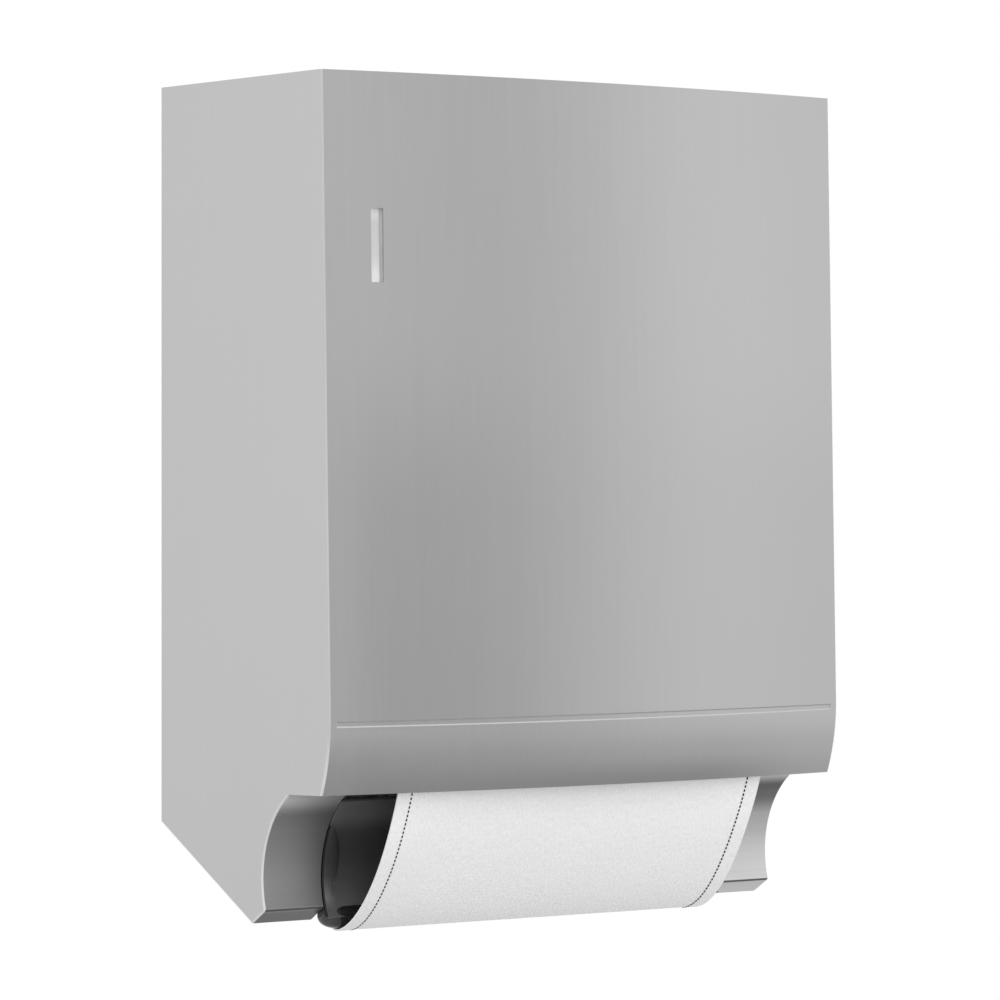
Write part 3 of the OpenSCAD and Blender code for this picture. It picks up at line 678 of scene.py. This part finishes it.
for vertex in towel.data.vertices:
    column = round((vertex.co.x + 0.5) * (len(columns) - 1))
    row = round((vertex.co.y + 0.5) * (len(rows) - 1))
    point, normal = line_at[row]
    x = columns[column]
    vertex.co = point + Vector((x, 0, 0)) + normal * cloth_rise(x, rows[row])
uv = towel.data.uv_layers.active.data
for loop in towel.data.loops:
    corner = uv[loop.index].uv
    column, row = round(corner[0] * (len(columns) - 1)), round(corner[1] * (len(rows) - 1))
    uv[loop.index].uv = (columns[column] / (2 * CLOTH_HALF) + 0.5, rows[row] / TOWEL_L)
finish_modifier(towel, "SOLIDIFY", thickness=CLOTH_T, offset=0.0)
smooth_shade(towel, 60)
print("towel web", len(towel.data.polygons), "faces")

# %% [markdown]
# The seams are sewn with dark thread in short stitches. One stitch is a tiny rounded bar. It is copied along both
# seams, on both faces of the cloth, and each copy gets its own turn so that it lies along the cloth.

# %% Towel: stitches
STITCH_PITCH, STITCH_LEN = 2.5 * MM, 1.5 * MM
STITCH_LIFT, STITCH_FLAT = 0.24 * MM, 0.8
stitch = add_shape("stitch", bpy.ops.mesh.primitive_cylinder_add, vertices=6, radius=STITCH_R, depth=STITCH_LEN)
edit(stitch)
pick(stitch, "EDGE", lambda e: abs(abs(middle(e).z) - STITCH_LEN / 2) < TINY)
bpy.ops.mesh.bevel(offset=0.2 * MM, segments=1, affect="EDGES")
leave_edit()
bar_points = [v.co.copy() for v in stitch.data.vertices]
bar_faces = [list(p.vertices) for p in stitch.data.polygons]
bpy.data.objects.remove(stitch)
points, faces = [], []
for k in range(int(TOWEL_L / STITCH_PITCH)):
    s = (k + 0.5) * STITCH_PITCH
    point, normal = along_towel(s)
    head = Vector((0, -normal.z, normal.y))
    for x in (-SEAM_X, SEAM_X):
        for face_side in (-1, 1):
            off = cloth_rise(x, s) + face_side * (CLOTH_T / 2 + STITCH_LIFT)
            start = len(points)
            points += [point + Vector((x + p.x, 0, 0)) + normal * (off + STITCH_FLAT * p.y) + head * p.z
                       for p in bar_points]
            faces += [[i + start for i in f] for f in bar_faces]
stitch_mesh = bpy.data.meshes.new("towel_stitches")
stitch_mesh.from_pydata([tuple(p) for p in points], [], faces)
stitches = bpy.data.objects.new("towel_stitches", stitch_mesh)
scene.collection.objects.link(stitches)
edit(stitches)
take_all()
bpy.ops.mesh.normals_make_consistent(inside=False)
leave_edit()
smooth_shade(stitches, 60)
print("stitches", len(faces) // len(bar_faces))

# %% Towel: baked in place
for piece in (towel, stitches):
    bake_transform(piece)
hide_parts("towel_feed_run", "towel_loop", "towel_return_run")


# %% [markdown]
# ## Wound rolls
# Inside are the clean roll and the soiled roll. Each is a long strip wound on itself, so each is drawn as a spiral: a
# curve with one turn for every layer, given the towel's width by the curve's own extrude, and then a thickness.
# The soiled roll is wound less evenly.

# %% Wound rolls
STEPS_A_TURN, LAYER_FILL = 40, 0.78


def wound_roll(name, centre, inner, outer, start_turn, unevenness):
    turns = round((outer - inner) / CLOTH_T)
    count = turns * STEPS_A_TURN
    curve = bpy.data.curves.new(name, "CURVE")
    curve.dimensions = "3D"
    spline = curve.splines.new("POLY")
    spline.points.add(count)
    for k in range(count + 1):
        turn = start_turn + 2 * math.pi * k / STEPS_A_TURN
        radius = inner + CLOTH_T / 2 + (outer - inner - CLOTH_T) * k / count
        radius += unevenness * math.sin(3 * turn + 0.01 * k) * (k / count)
        spline.points[k].co = (centre.y + radius * math.cos(turn), centre.z + radius * math.sin(turn), 0, 1)
    curve.extrude = CLOTH_HALF
    roll = bpy.data.objects.new(name, curve)
    scene.collection.objects.link(roll)
    activate(roll)
    roll.rotation_euler = (math.radians(90), 0, math.radians(90))
    bpy.ops.object.convert(target="MESH")
    roll = bpy.context.object
    bpy.ops.object.transform_apply(location=True, rotation=True, scale=True)
    edit(roll)
    take_all()
    bpy.ops.mesh.remove_doubles(threshold=0.001 * MM)
    leave_edit()
    finish_modifier(roll, "SOLIDIFY", thickness=LAYER_FILL * CLOTH_T, offset=0.0)
    smooth_shade(roll, 60)
    length = sum((Vector(a.co[:2]) - Vector(b.co[:2])).length
                 for a, b in zip(spline.points, spline.points[1:]))
    print(name, turns, "turns", round(length, 2), "m", len(roll.data.polygons), "faces")
    return roll, length


clean_roll, clean_length = wound_roll("clean_roll_web", CLEAN, 21 * MM, CLEAN_R, go_1 - QUARTER, 0.0)
soiled_roll, soiled_length = wound_roll("soiled_roll_web", SOILED, 12 * MM, SOILED_R, go_3 - QUARTER, 0.12 * MM)
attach(clean_roll, "clean_roll")
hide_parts("clean_towel")
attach(soiled_roll, "takeup")
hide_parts("soiled_towel")


# %% [markdown]
# ## Materials: shared effects
# Each effect that several finishes use is a node group: brushed grain, soft handling marks, cotton weave, moulded
# grain and the flower pattern of zinc. A group puts out masks and heights only. Each material keeps its own shader
# and decides how much of the effect it takes.

# %% Helpers for effects
VALUE = "NodeSocketFloat"


def new_group(name, **numbers):
    """An empty effect that takes a place and some numbers; its inputs come back by name."""
    group = bpy.data.node_groups.new(name, "ShaderNodeTree")
    group.interface.new_socket(name="Place", in_out="INPUT", socket_type="NodeSocketVector")
    for socket, value in numbers.items():
        group.interface.new_socket(name=socket, in_out="INPUT", socket_type=VALUE).default_value = value
    return group, group.nodes.new("NodeGroupInput").outputs


def give(group, **made):
    """Make an effect's outputs and link what it has made to them."""
    for name in made:
        group.interface.new_socket(name=name, in_out="OUTPUT", socket_type=VALUE)
    out = group.nodes.new("NodeGroupOutput")
    for name, socket in made.items():
        group.links.new(socket, out.inputs[name])
    print("effect", group.name, "gives", *made)


def weighed(tree, *shares):
    """The sum of some masks, each times its share."""
    total, *rest = [math_node(tree, "MULTIPLY", mask, share) for mask, share in shares]
    for part in rest:
        total = math_node(tree, "ADD", total, part)
    return total


def stretch(tree, place, scale):
    return add_node(tree, "Mapping", Vector=place, Scale=scale).outputs["Vector"]


def noise_node(tree, place, scale, detail=2.0, rough=0.5):
    """Noise of one scale, or of a scale for each axis."""
    if isinstance(scale, tuple):
        place, scale = stretch(tree, place, scale), 1.0
    return add_node(tree, "TexNoise", Vector=place, Scale=scale, Detail=detail, Roughness=rough).outputs["Fac"]


print("effect helpers ready")

# %% Effects of steel: brushed grain and handling marks
grain, given = new_group("brushed_grain")
fine = noise_node(grain, given["Place"], (900, 900, 9), 3.0, 0.6)
wide = noise_node(grain, given["Place"], (190, 190, 2.4))
hair = noise_node(grain, given["Place"], (2600, 2600, 30))
give(grain, Streak=weighed(grain, (fine, 0.6), (wide, 0.4)), Height=math_node(grain, "ADD", fine, hair))
marks, given = new_group("handling_marks")
cloud = noise_node(marks, given["Place"], 9.0, 4.0, 0.55)
spots = noise_node(marks, given["Place"], 60.0, 3.0, 0.6)
give(marks, Mask=weighed(marks, (cloud, 0.75), (spots, 0.25)))

# %% Effect: cotton weave
weave, given = new_group("cotton_weave", Threads=900.0)
pace = math_node(weave, "MULTIPLY", given["Threads"], 2 * math.pi)
warp, weft = [math_node(weave, "SINE", math_node(weave, "MULTIPLY", axis_of(weave, given["Place"], axis), pace))
              for axis in "XY"]
cross = math_node(weave, "MULTIPLY", warp, weft)
slub = noise_node(weave, given["Place"], (60, 900, 1))
nub = noise_node(weave, given["Place"], 640.0, 2.0, 0.55)
give(weave, Height=weighed(weave, (cross, 0.45), (nub, 1.1), (slub, 0.5)),
     Shade=weighed(weave, (nub, 0.6), (slub, 0.4)),
     Pile=noise_node(weave, given["Place"], (860, 330, 1), 3.0, 0.65))

# %% Effects: moulded grain and zinc flowers
mould, given = new_group("moulded_grain", Grain=1400.0)
give(mould, Height=noise_node(mould, given["Place"], given["Grain"]),
     Flow=noise_node(mould, given["Place"], (14, 30, 30), 3.0))
zinc, given = new_group("zinc_flowers")
cells = add_node(zinc, "TexVoronoi", Vector=given["Place"], Scale=130.0)
give(zinc, Cell=add_node(zinc, "RGBToBW", Color=cells.outputs["Color"]).outputs[0],
     Cloud=noise_node(zinc, given["Place"], 35.0, 3.0))


# %% [markdown]
# ## Materials: how a finish is put together
# A finish starts from one shader with its fixed numbers set on its own sockets. What changes over the surface is
# then linked in: colour between a dark and a light tone, roughness between two limits, and a fine bump. Where a piece
# is lighter at one end than at the other, a fade along one of its axes scales the colour.

# %% Helpers for finishes
def finish(name, **fixed):
    """A new material with fixed numbers on its shader's sockets."""
    material = bpy.data.materials.new(name)
    material.use_nodes = True
    tree = material.node_tree
    shader = tree.nodes["Principled BSDF"]
    for socket, value in fixed.items():
        shader.inputs[socket.replace("_", " ")].default_value = value
    return material, tree, shader


def object_place(tree):
    return add_node(tree, "TexCoord").outputs["Object"]


def use_group(tree, group, place, **numbers):
    """Put an effect in a material; its outputs come back by name."""
    node = add_node(tree, "Group")
    node.node_tree = group
    for name, value in {"Place": place, **numbers}.items():
        feed(tree, node.inputs[name], value)
    return node.outputs


def set_ramp(tree, mask, stops, easing="LINEAR"):
    """A colour ramp; each stop is a position and a grey, or a position and a colour."""
    node = add_node(tree, "ValToRGB", Fac=mask)
    node.color_ramp.interpolation = easing
    while len(node.color_ramp.elements) < len(stops):
        node.color_ramp.elements.new(0.5)
    for element, (position, tone) in zip(node.color_ramp.elements, stops):
        element.position = position
        element.color = (*tone, 1) if isinstance(tone, tuple) else (tone, tone, tone, 1)
    return node.outputs["Color"]


def tones(tree, shader, mask, dark, light, low=0.3, high=0.7):
    colour = set_ramp(tree, mask, ((low, dark), (high, light)))
    tree.links.new(colour, shader.inputs["Base Color"])
    return colour


def gloss(tree, shader, mask, low, high):
    """Roughness that follows a mask between two limits."""
    tree.links.new(map_range(tree, mask, 0.25, 0.75, low, high), shader.inputs["Roughness"])


def relief(tree, shader, height, strength, distance):
    bump = add_node(tree, "Bump", Strength=strength, Distance=distance, Height=height)
    tree.links.new(bump.outputs["Normal"], shader.inputs["Normal"])


def dress(obj, *materials):
    """Fill an object's material slots; each face keeps the number of its slot."""
    slots = obj.data.materials
    for k, material in enumerate(materials):
        if k < len(slots):
            slots[k] = material
        else:
            slots.append(material)


def dress_solids(material, *names):
    for name in names:
        dress(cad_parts[name], material)


print("finish helpers ready")


# %% Helpers for fades
def fade_along(tree, place, axis, stops):
    """A factor that changes along one axis: each stop is a place in mm and the factor there, lowest place first."""
    bottom, top = stops[0][0], stops[-1][0]
    climb = map_range(tree, axis_of(tree, place, axis), bottom * MM, top * MM)
    return set_ramp(tree, climb, [((spot - bottom) / (top - bottom), factor) for spot, factor in stops], "EASE")


def by_height(stops):
    return lambda tree, place: fade_along(tree, place, "Z", stops)


def combine(tree, how, first, second):
    return math_node(tree, how, first, second, "VectorMath")


def scale_colour(tree, shader, colour, factor):
    scaled = combine(tree, "MULTIPLY", colour, factor)
    tree.links.new(scaled, shader.inputs["Base Color"])
    return scaled


print("fade helpers ready")


# %% [markdown]
# ## Steel of the hood
# Brushed sheet has fine upright streaks from the belt that ground it. A stretched noise gives them: close across the
# sheet and long down it, in the tone, the gloss and the bump. On the real front the light is calm: a soft sheen right
# of the middle, a duller lower left, and shade where the sheet rolls under. A few plain fades paint that into the
# front's colour: a painted sheen, a painted darker reflection and a painted shade. The bands beside the trough are
# ground across. Their halves are lit and shaded copies of one steel, with painted light and painted shade by height,
# and a darker copy is a painted shade in the fold above the flange. The edges and the groove's walls are matt steel
# in a painted tone: painted highlights, and a painted half-shade on the groove's upper wall.

# %% Brushed steel
# Painted light on the front, each list a place in mm and a factor on the colour: a painted sheen across, a painted
# darker reflection low on the left, and painted shade where the sheet rolls under.
PAINTED_SHINE_ACROSS = [(-172, 1.035), (-77, 0.985), (57, 1.105), (172, 1.02)]
LEFT_PAINTED_DARK = [(-172, 0.91), (-140, 0.83), (5, 0.96), (172, 0.94)]
LEFT_PAINTED_DROP = [(-148, 0.0), (-138, 1.0), (-42, 0.88), (73, 0.0)]
ROLL_PAINTED_SHADE = [(-172, 1.06), (-140, 0.92), (69, 0.63), (172, 0.88)]
ROLL_PAINTED_SHADE_DROP = [(-179, 1.0), (-163, 0.51), (-148, 0.28), (-138, 0.0)]


def painted_front_light(tree, place):
    """Painted light of the front: a painted sheen across, a painted darker lower left, and painted roll-under shade.
    """
    factor = fade_along(tree, place, "X", PAINTED_SHINE_ACROSS)
    for across_stops, drop_stops in ((LEFT_PAINTED_DARK, LEFT_PAINTED_DROP), (ROLL_PAINTED_SHADE, ROLL_PAINTED_SHADE_DROP)):
        share = fade_along(tree, place, "Z", drop_stops)
        shade = between(tree, share, 1, fade_along(tree, place, "X", across_stops))
        factor = combine(tree, "MULTIPLY", factor, shade)
    return factor


def brushed_steel(name, dark, light, rough_low, rough_high, bump, fade=None, crosswise=False):
    material, tree, shader = finish(name, Metallic=1.0)
    place = object_place(tree)
    turned_place = add_node(tree, "Mapping", Vector=place, Rotation=(0, QUARTER if crosswise else 0, 0))
    brushed = use_group(tree, grain, turned_place.outputs["Vector"])
    handled = use_group(tree, marks, place)
    colour = tones(tree, shader, weighed(tree, (brushed["Streak"], 0.8), (handled["Mask"], 0.2)), dark, light)
    if fade:
        scale_colour(tree, shader, colour, fade(tree, place))
    gloss(tree, shader, brushed["Streak"], rough_low, rough_high)
    relief(tree, shader, brushed["Height"], bump, 0.02 * MM)
    return material


# Painted light on the bands: the left band is a shaded copy and the right band a lit copy of one steel, each with a
# painted fade by height.
PAINTED_BAND_SHADE = [(-256, 0.68), (-247, 0.70), (-245, 1.12), (-194, 1.32), (-181, 4.5)]
PAINTED_BAND_LIGHT = [(-256, 1.33), (-239, 1.11), (-208, 0.94), (-195, 0.37), (-189.4, 0.28), (-181, 1.26)]
hood_steel = brushed_steel("hood_brushed_steel", 0.387, 0.413, 0.30, 0.38, 0.25)
front_painted_sheen_steel = brushed_steel("steel_front_painted_sheen", 0.387, 0.413, 0.30, 0.38, 0.25, painted_front_light)
band_painted_shade = brushed_steel("steel_band_painted_shade", 0.243, 0.267, 0.42, 0.50, 0.2, by_height(PAINTED_BAND_SHADE), True)
# A darker copy of the band steel is a painted shade in the fold above the flange.
fold_painted_shade = brushed_steel("fold_steel_painted_shade", 0.11, 0.15, 0.40, 0.50, 0.1, None, True)
band_painted_light = brushed_steel("steel_band_painted_light", 0.46, 0.52, 0.34, 0.42, 0.2, by_height(PAINTED_BAND_LIGHT), True)
print("brushed steels ready")


# %% Satin steel
def matt_painted_steel(name, dark, light, stops):
    """Matt steel in a painted tone, for painted highlights and half-shade; it takes light from all round instead of
    mirroring one spot.
    """
    material, tree, shader = finish(name, Metallic=0.25, Roughness=0.6)
    place = object_place(tree)
    worn = use_group(tree, grain, place)
    colour = tones(tree, shader, worn["Streak"], dark, light)
    scale_colour(tree, shader, colour, fade_along(tree, place, "Z", stops))
    relief(tree, shader, worn["Height"], 0.1, 0.02 * MM)
    return material


# Painted highlights on the rounded edges and the groove's lower wall, and a painted half-shade on its upper wall.
edge_painted_highlight = matt_painted_steel("edge_steel_painted_highlight", 0.61, 0.68, [(-175, 1.0), (-140, 0.74)])
wall_painted_highlight = matt_painted_steel("groove_wall_satin", 0.58, 0.64, [(-148, 1.0), (-142, 0.9)])
roof_painted_shade = matt_painted_steel("groove_roof_satin", 0.40, 0.45, [(-148, 1.0), (-142, 1.0)])
print("satin steels ready")

# %% Dressing the hood
dress(hood, hood_steel, edge_painted_highlight, band_painted_shade, fold_painted_shade, band_painted_light, wall_painted_highlight, front_painted_sheen_steel, roof_painted_shade)
SKIN, EDGE, SHADED, FOLD, LIT, WALL, FRONT, ROOF = range(8)
LEANS, SIDEWAYS, UPWARD, FRONTWARD, FLAT_SIDE = 0.2, 0.4, 0.3, -0.6, 0.5
NEAR_ARC, FOOT_PLAY, FOLD_PLAY = 1.5 * MM, 0.2 * MM, 0.4 * MM


def near_groove(face, turn):
    return (abs(face.center.x) < GROOVE_HALF + MM and abs(turn - GROOVE_MID) < GROOVE_SWEEP
            and face.center.y < ROLL_C.y)


def groove_slot(face, turn):
    """The groove's lower wall and left end, which look up or to the light, get a painted highlight; its upper wall
    and right end, which look away, a painted half-shade.
    """
    lean = face.normal.z + math.sin(turn - LEAN)
    if face.normal.y < 0 and lean > LEANS or face.normal.x > SIDEWAYS and face.center.x < 0:
        return WALL
    if face.normal.y < 0 and lean < -LEANS or face.normal.x < -SIDEWAYS and face.center.x > 0:
        return ROOF
    return face.material_index


# Painted light by place and facing: the groove's walls get a painted highlight or half-shade, edges that face up stay
# plain steel, the front gets the painted sheen, and band and flange faces a painted light on the right and a painted
# shade on the left.
for face in hood.data.polygons:
    spot = Vector((0, face.center.y, face.center.z))
    turn = math.atan2(ROLL_C.z - spot.z, ROLL_C.y - spot.y) + LEAN
    if near_groove(face, turn):
        face.material_index = groove_slot(face, turn)
    if face.material_index == EDGE and face.normal.z > UPWARD:
        face.material_index = SKIN
    if face.material_index == SKIN and face.normal.y < FRONTWARD and spot.y < IN_FRONT and spot.z > FOOT_Z:
        face.material_index = FRONT
    if spot.z > FOOT_Z - FOOT_PLAY or abs(face.center.x) < BAND_IN - MM or abs(face.normal.x) > FLAT_SIDE:
        continue
    on_band = abs((spot - RECESS).length - RECESS_R) < NEAR_ARC
    on_flange = spot.z < arc_end.z and spot.y < nose.y and face.normal.y < 0
    # Painted shade: edge faces in the fold above the flange take the darker copy of the band steel.
    if face.material_index == EDGE and spot.z < arc_end.z + FOLD_PLAY and spot.y < nose.y:
        face.material_index = FOLD
    elif on_band or on_flange:
        face.material_index = LIT if face.center.x > 0 else SHADED
print("hood dressed with", [m.name for m in hood.data.materials])


# %% [markdown]
# ## Smoky plastic
# The trough is dark, glossy and slightly see-through in reality. Here it is a dark solid, and a fade by height paints
# its light and shade: paler under the front edge and toward the lip, with a painted highlight low at both ends beside
# the towel. The lip is a touch paler toward its ends. Real transparency would only show the frame behind it.

# %% Smoky plastic
def smoky_plastic(name, dark, light):
    material, tree, shader = finish(name, IOR=1.5)
    place = object_place(tree)
    moulded = use_group(tree, mould, place, Grain=90.0)
    colour = tones(tree, shader, moulded["Flow"], dark, light)
    gloss(tree, shader, use_group(tree, marks, place)["Mask"], 0.10, 0.20)
    relief(tree, shader, moulded["Height"], 0.12, 0.05 * MM)
    return material, tree, shader, place, colour


def toward_ends(tree, place, first, last, top=1.0):
    """A value that climbs toward both ends of a piece, from 0 at the first distance to the top at the last one."""
    return map_range(tree, math_node(tree, "ABSOLUTE", axis_of(tree, place, "X")), first * MM, last * MM, 0.0, top)


# Painted light on the trough: a fade by height, and a painted highlight low at both ends.
PAINTED_SMOKE_LIGHT = [(-248, 1.71), (-216, 0.9), (-205, 1.09), (-193, 2.2), (-186, 2.1)]
PAINTED_RIM_LIGHT_LO, PAINTED_RIM_LIGHT_MID, PAINTED_RIM_LIGHT_HI, PAINTED_RIM_LIGHT = -246 * MM, -240 * MM, -228 * MM, 0.09
smoke, tree, shader, place, colour = smoky_plastic("smoke_plastic_gloss", 0.053, 0.072)
smoke_painted_light = scale_colour(tree, shader, colour, fade_along(tree, place, "Z", PAINTED_SMOKE_LIGHT))
height = axis_of(tree, place, "Z")
low_rim_band = math_node(tree, "MULTIPLY", map_range(tree, height, PAINTED_RIM_LIGHT_HI, PAINTED_RIM_LIGHT_MID, 0.0, PAINTED_RIM_LIGHT),
                      map_range(tree, height, PAINTED_RIM_LIGHT_LO, PAINTED_RIM_LIGHT_MID))
rim_highlight = math_node(tree, "MULTIPLY", toward_ends(tree, place, 128, 133), low_rim_band)
tree.links.new(combine(tree, "ADD", smoke_painted_light, rim_highlight), shader.inputs["Base Color"])
dark_smoke = smoky_plastic("smoke_plastic_dark", 0.012, 0.020)[0]
lip_smoke, tree, shader, place, colour = smoky_plastic("smoke_plastic_lip", 0.012, 0.020)
lip_end = toward_ends(tree, place, 126, 132, 0.045)
tree.links.new(combine(tree, "ADD", colour, lip_end), shader.inputs["Base Color"])
print("smoky plastics ready")

# %% Dressing the trough and the lip
# Painted shade: the trough's end faces low down take the dark plastic, a painted shadow in the gap beside the steel
# bands.
SHADED_GAP_W, SHADED_GAP_TOP = 0.8 * MM, -200 * MM
dress(trough, smoke, dark_smoke)
for face in trough.data.polygons:
    if abs(face.center.x) > TROUGH_HALF - SHADED_GAP_W and face.center.z < SHADED_GAP_TOP:
        face.material_index = 1
dress(lip_bar, lip_smoke)
dress_solids(dark_smoke, "bottom_cover", "damper_case")
print("smoky plastic on the trough, lip, cover and damper")


# %% [markdown]
# ## Cotton
# Roller towel is woven plain and close, with a fine uneven pile. The pattern is laid on the towel's own UV map, in
# real metres, so it follows the loop round. Where it has just left the hood the cloth is painted a touch paler, a
# painted light against the shade under the hood's front edge. The rolls are seen only with the hood open, so a plain
# lint noise is enough there.

# %% Cotton
# Painted light: the cloth is a touch paler just below the hood's front edge.
PAINTED_TOWEL_LIGHT = [(300, 1.05), (320, 1.045), (350, 1.0)]
THREADS, PILE_DARK = 900.0, 0.87
clean_cotton, tree, shader = finish("clean_cotton", Roughness=0.92, Sheen_Weight=0.25, Sheen_Roughness=0.6)
place = stretch(tree, add_node(tree, "TexCoord").outputs["UV"], (2 * CLOTH_HALF, TOWEL_L, 1))
woven = use_group(tree, weave, place, Threads=THREADS)
colour = tones(tree, shader, woven["Shade"], 0.93, 0.98, 0.35, 0.62)
piled = combine(tree, "MULTIPLY", colour, map_range(tree, woven["Pile"], 0.3, 0.7, PILE_DARK, 1.0))
scale_colour(tree, shader, piled, fade_along(tree, place, "Y", PAINTED_TOWEL_LIGHT))
relief(tree, shader, woven["Height"], 0.75, 0.18 * MM)
dress(towel, clean_cotton)
thread, tree, shader = finish("navy_thread", Roughness=0.8)
twist = noise_node(tree, object_place(tree), (4000, 2500, 2500))
tones(tree, shader, twist, (0.006, 0.007, 0.025), (0.022, 0.025, 0.065))
relief(tree, shader, twist, 0.4, 0.05 * MM)
dress(stitches, thread)
print("cotton and thread ready")


# %% Rolls of cotton
def wound_cotton(name, dark, light):
    material, tree, shader = finish(name, Roughness=0.94, Sheen_Weight=0.2)
    place = object_place(tree)
    lint = noise_node(tree, place, 700.0, 3.0, 0.6)
    band = noise_node(tree, place, (40, 400, 400))
    tones(tree, shader, weighed(tree, (lint, 0.6), (band, 0.4)), dark, light)
    relief(tree, shader, lint, 0.5, 0.2 * MM)
    return material


dress(clean_roll, wound_cotton("clean_roll_cotton", (0.76, 0.76, 0.75), (0.87, 0.87, 0.86)))
dress(soiled_roll, wound_cotton("soiled_roll_cotton", (0.58, 0.57, 0.54), (0.78, 0.77, 0.74)))
print("rolls dressed")


# %% [markdown]
# ## Other metals
# Plate and shafts of such a machine are zinc plated, with the flower pattern of the bath. Springs are drawn and
# blued, and the lock is satin nickel. Each gets its own small finish and goes straight onto the solids, whose meshes
# stay as they are.

# %% Zinc plate
zinc_plate, tree, shader = finish("zinc_plate", Metallic=1.0)
flowers = use_group(tree, zinc, object_place(tree))
tones(tree, shader, weighed(tree, (flowers["Cell"], 0.45), (flowers["Cloud"], 0.55)), (0.44, 0.46, 0.48),
      (0.62, 0.64, 0.66))
gloss(tree, shader, flowers["Cell"], 0.28, 0.46)
relief(tree, shader, flowers["Cloud"], 0.15, 0.05 * MM)
dress_solids(zinc_plate, "back_plate", "exit_rod", "tie_rods", "frame_screws", "hinge_pins", "clutch_ring",
             "lock_keeper", "hinge_leaves", "lock_nut", "lock_cam", "cam_screw", "roll_spindle", "feed_shaft",
             "pressure_shaft", "arbor_shaft", "takeup_shaft", "barrel_lid")
print("zinc ready")

# %% Spring steel and lock metal
spring_steel, tree, shader = finish("spring_steel", Metallic=1.0)
drawn = noise_node(tree, object_place(tree), (30, 1500, 1500), 3.0)
tones(tree, shader, drawn, (0.20, 0.22, 0.27), (0.36, 0.38, 0.43))
gloss(tree, shader, drawn, 0.22, 0.36)
relief(tree, shader, drawn, 0.2, 0.02 * MM)
dress_solids(spring_steel, "pressure_springs", "main_spring")
lock_metal, tree, shader = finish("satin_nickel", Metallic=1.0)
place = object_place(tree)
satin = noise_node(tree, place, (200, 1600, 1600), 3.0)
tones(tree, shader, use_group(tree, marks, place)["Mask"], (0.56, 0.55, 0.53), (0.68, 0.67, 0.65))
gloss(tree, shader, satin, 0.18, 0.34)
relief(tree, shader, satin, 0.2, 0.02 * MM)
dress_solids(lock_metal, "lock_barrel", "lock_plug")
print("metals ready")


# %% [markdown]
# ## Plastics, rubber, board and pane
# The frames are grained black plastic, gears and bushes white acetal, the rollers have rubber sleeves and the core is
# wound board. One function makes all moulded finishes. The window's pane is frosted, with painted light that makes it
# paler toward both ends, and the bezel has painted light and shade by height, lightest just under the slot's top.

# %% Moulded plastics
def moulded_plastic(name, nodes_named, dark, light, rough_low, rough_high, grain_size, bump):
    material, tree, shader = finish(name, IOR=1.48)
    place = object_place(tree)
    moulded = use_group(tree, mould, place, Grain=grain_size)
    handled = use_group(tree, marks, place)
    colour = tones(tree, shader, weighed(tree, (moulded["Flow"], 0.6), (handled["Mask"], 0.4)), dark, light)
    gloss(tree, shader, handled["Mask"], rough_low, rough_high)
    relief(tree, shader, moulded["Height"], bump, 0.08 * MM)
    dress_solids(material, *nodes_named)
    return tree, shader, place, colour


moulded_plastic("frame_plastic_grained", ("left_frame", "right_frame"), (0.085, 0.088, 0.092), (0.13, 0.134, 0.14),
                0.48, 0.62, 1300.0, 0.5)
moulded_plastic("acetal_white", ("shaft_bushes", "core_plugs", "feed_gear", "arbor_gear", "barrel_drum",
                                 "takeup_spool", "takeup_gear", "damper_pinion"),
                (0.74, 0.73, 0.69), (0.84, 0.83, 0.79), 0.32, 0.46, 900.0, 0.15)
moulded_plastic("roller_rubber_grained", ("feed_sleeve", "pressure_sleeve"), (0.030, 0.030, 0.031),
                (0.055, 0.055, 0.056), 0.62, 0.82, 1700.0, 0.7)
print("frames, gears and rollers ready")

# %% Window and core
tree, shader, place, colour = moulded_plastic("bezel_pale", ("window_bezel",), 0.53, 0.59, 0.30, 0.42, 900.0, 0.1)
# Painted light and shade on the bezel: darker toward the slot's bottom and much lighter just under its top.
bezel_light_stops = [(WINDOW_LO / MM, 0.84), (WINDOW_HI / MM - 3, 1.0)]
bezel_head_light_stops = bezel_light_stops + [(WINDOW_HI / MM - 1, 1.6)]
over_pane = fade_along(tree, place, "X", [(-143, 1.0), (-142, 0.0)])
scale_colour(tree, shader, colour, between(tree, over_pane, fade_along(tree, place, "Z", bezel_light_stops),
                                           fade_along(tree, place, "Z", bezel_head_light_stops)))
# Painted light on the pane: paler toward both ends, against the shade inside the slot.
PAINTED_PANE_LIGHT = [(92.5, 0.88), (110, 0.68), (123, 0.66), (132, 0.93)]
pane, tree, shader = finish("pane_frosted", IOR=1.49)
place = object_place(tree)
moulded = use_group(tree, mould, place, Grain=500.0)
colour = tones(tree, shader, moulded["Flow"], 0.97, 1.0)
scale_colour(tree, shader, colour, fade_along(tree, place, "Z", PAINTED_PANE_LIGHT))
gloss(tree, shader, moulded["Flow"], 0.30, 0.42)
relief(tree, shader, moulded["Height"], 0.05, 0.05 * MM)
dress_solids(pane, "window_pane")
board, tree, shader = finish("wound_board", Roughness=0.85)
fibre = noise_node(tree, object_place(tree), (260, 900, 900), 4.0, 0.6)
tones(tree, shader, fibre, (0.30, 0.21, 0.13), (0.48, 0.36, 0.24))
relief(tree, shader, fibre, 0.4, 0.1 * MM)
dress_solids(board, "roll_core")
print("window and core ready")
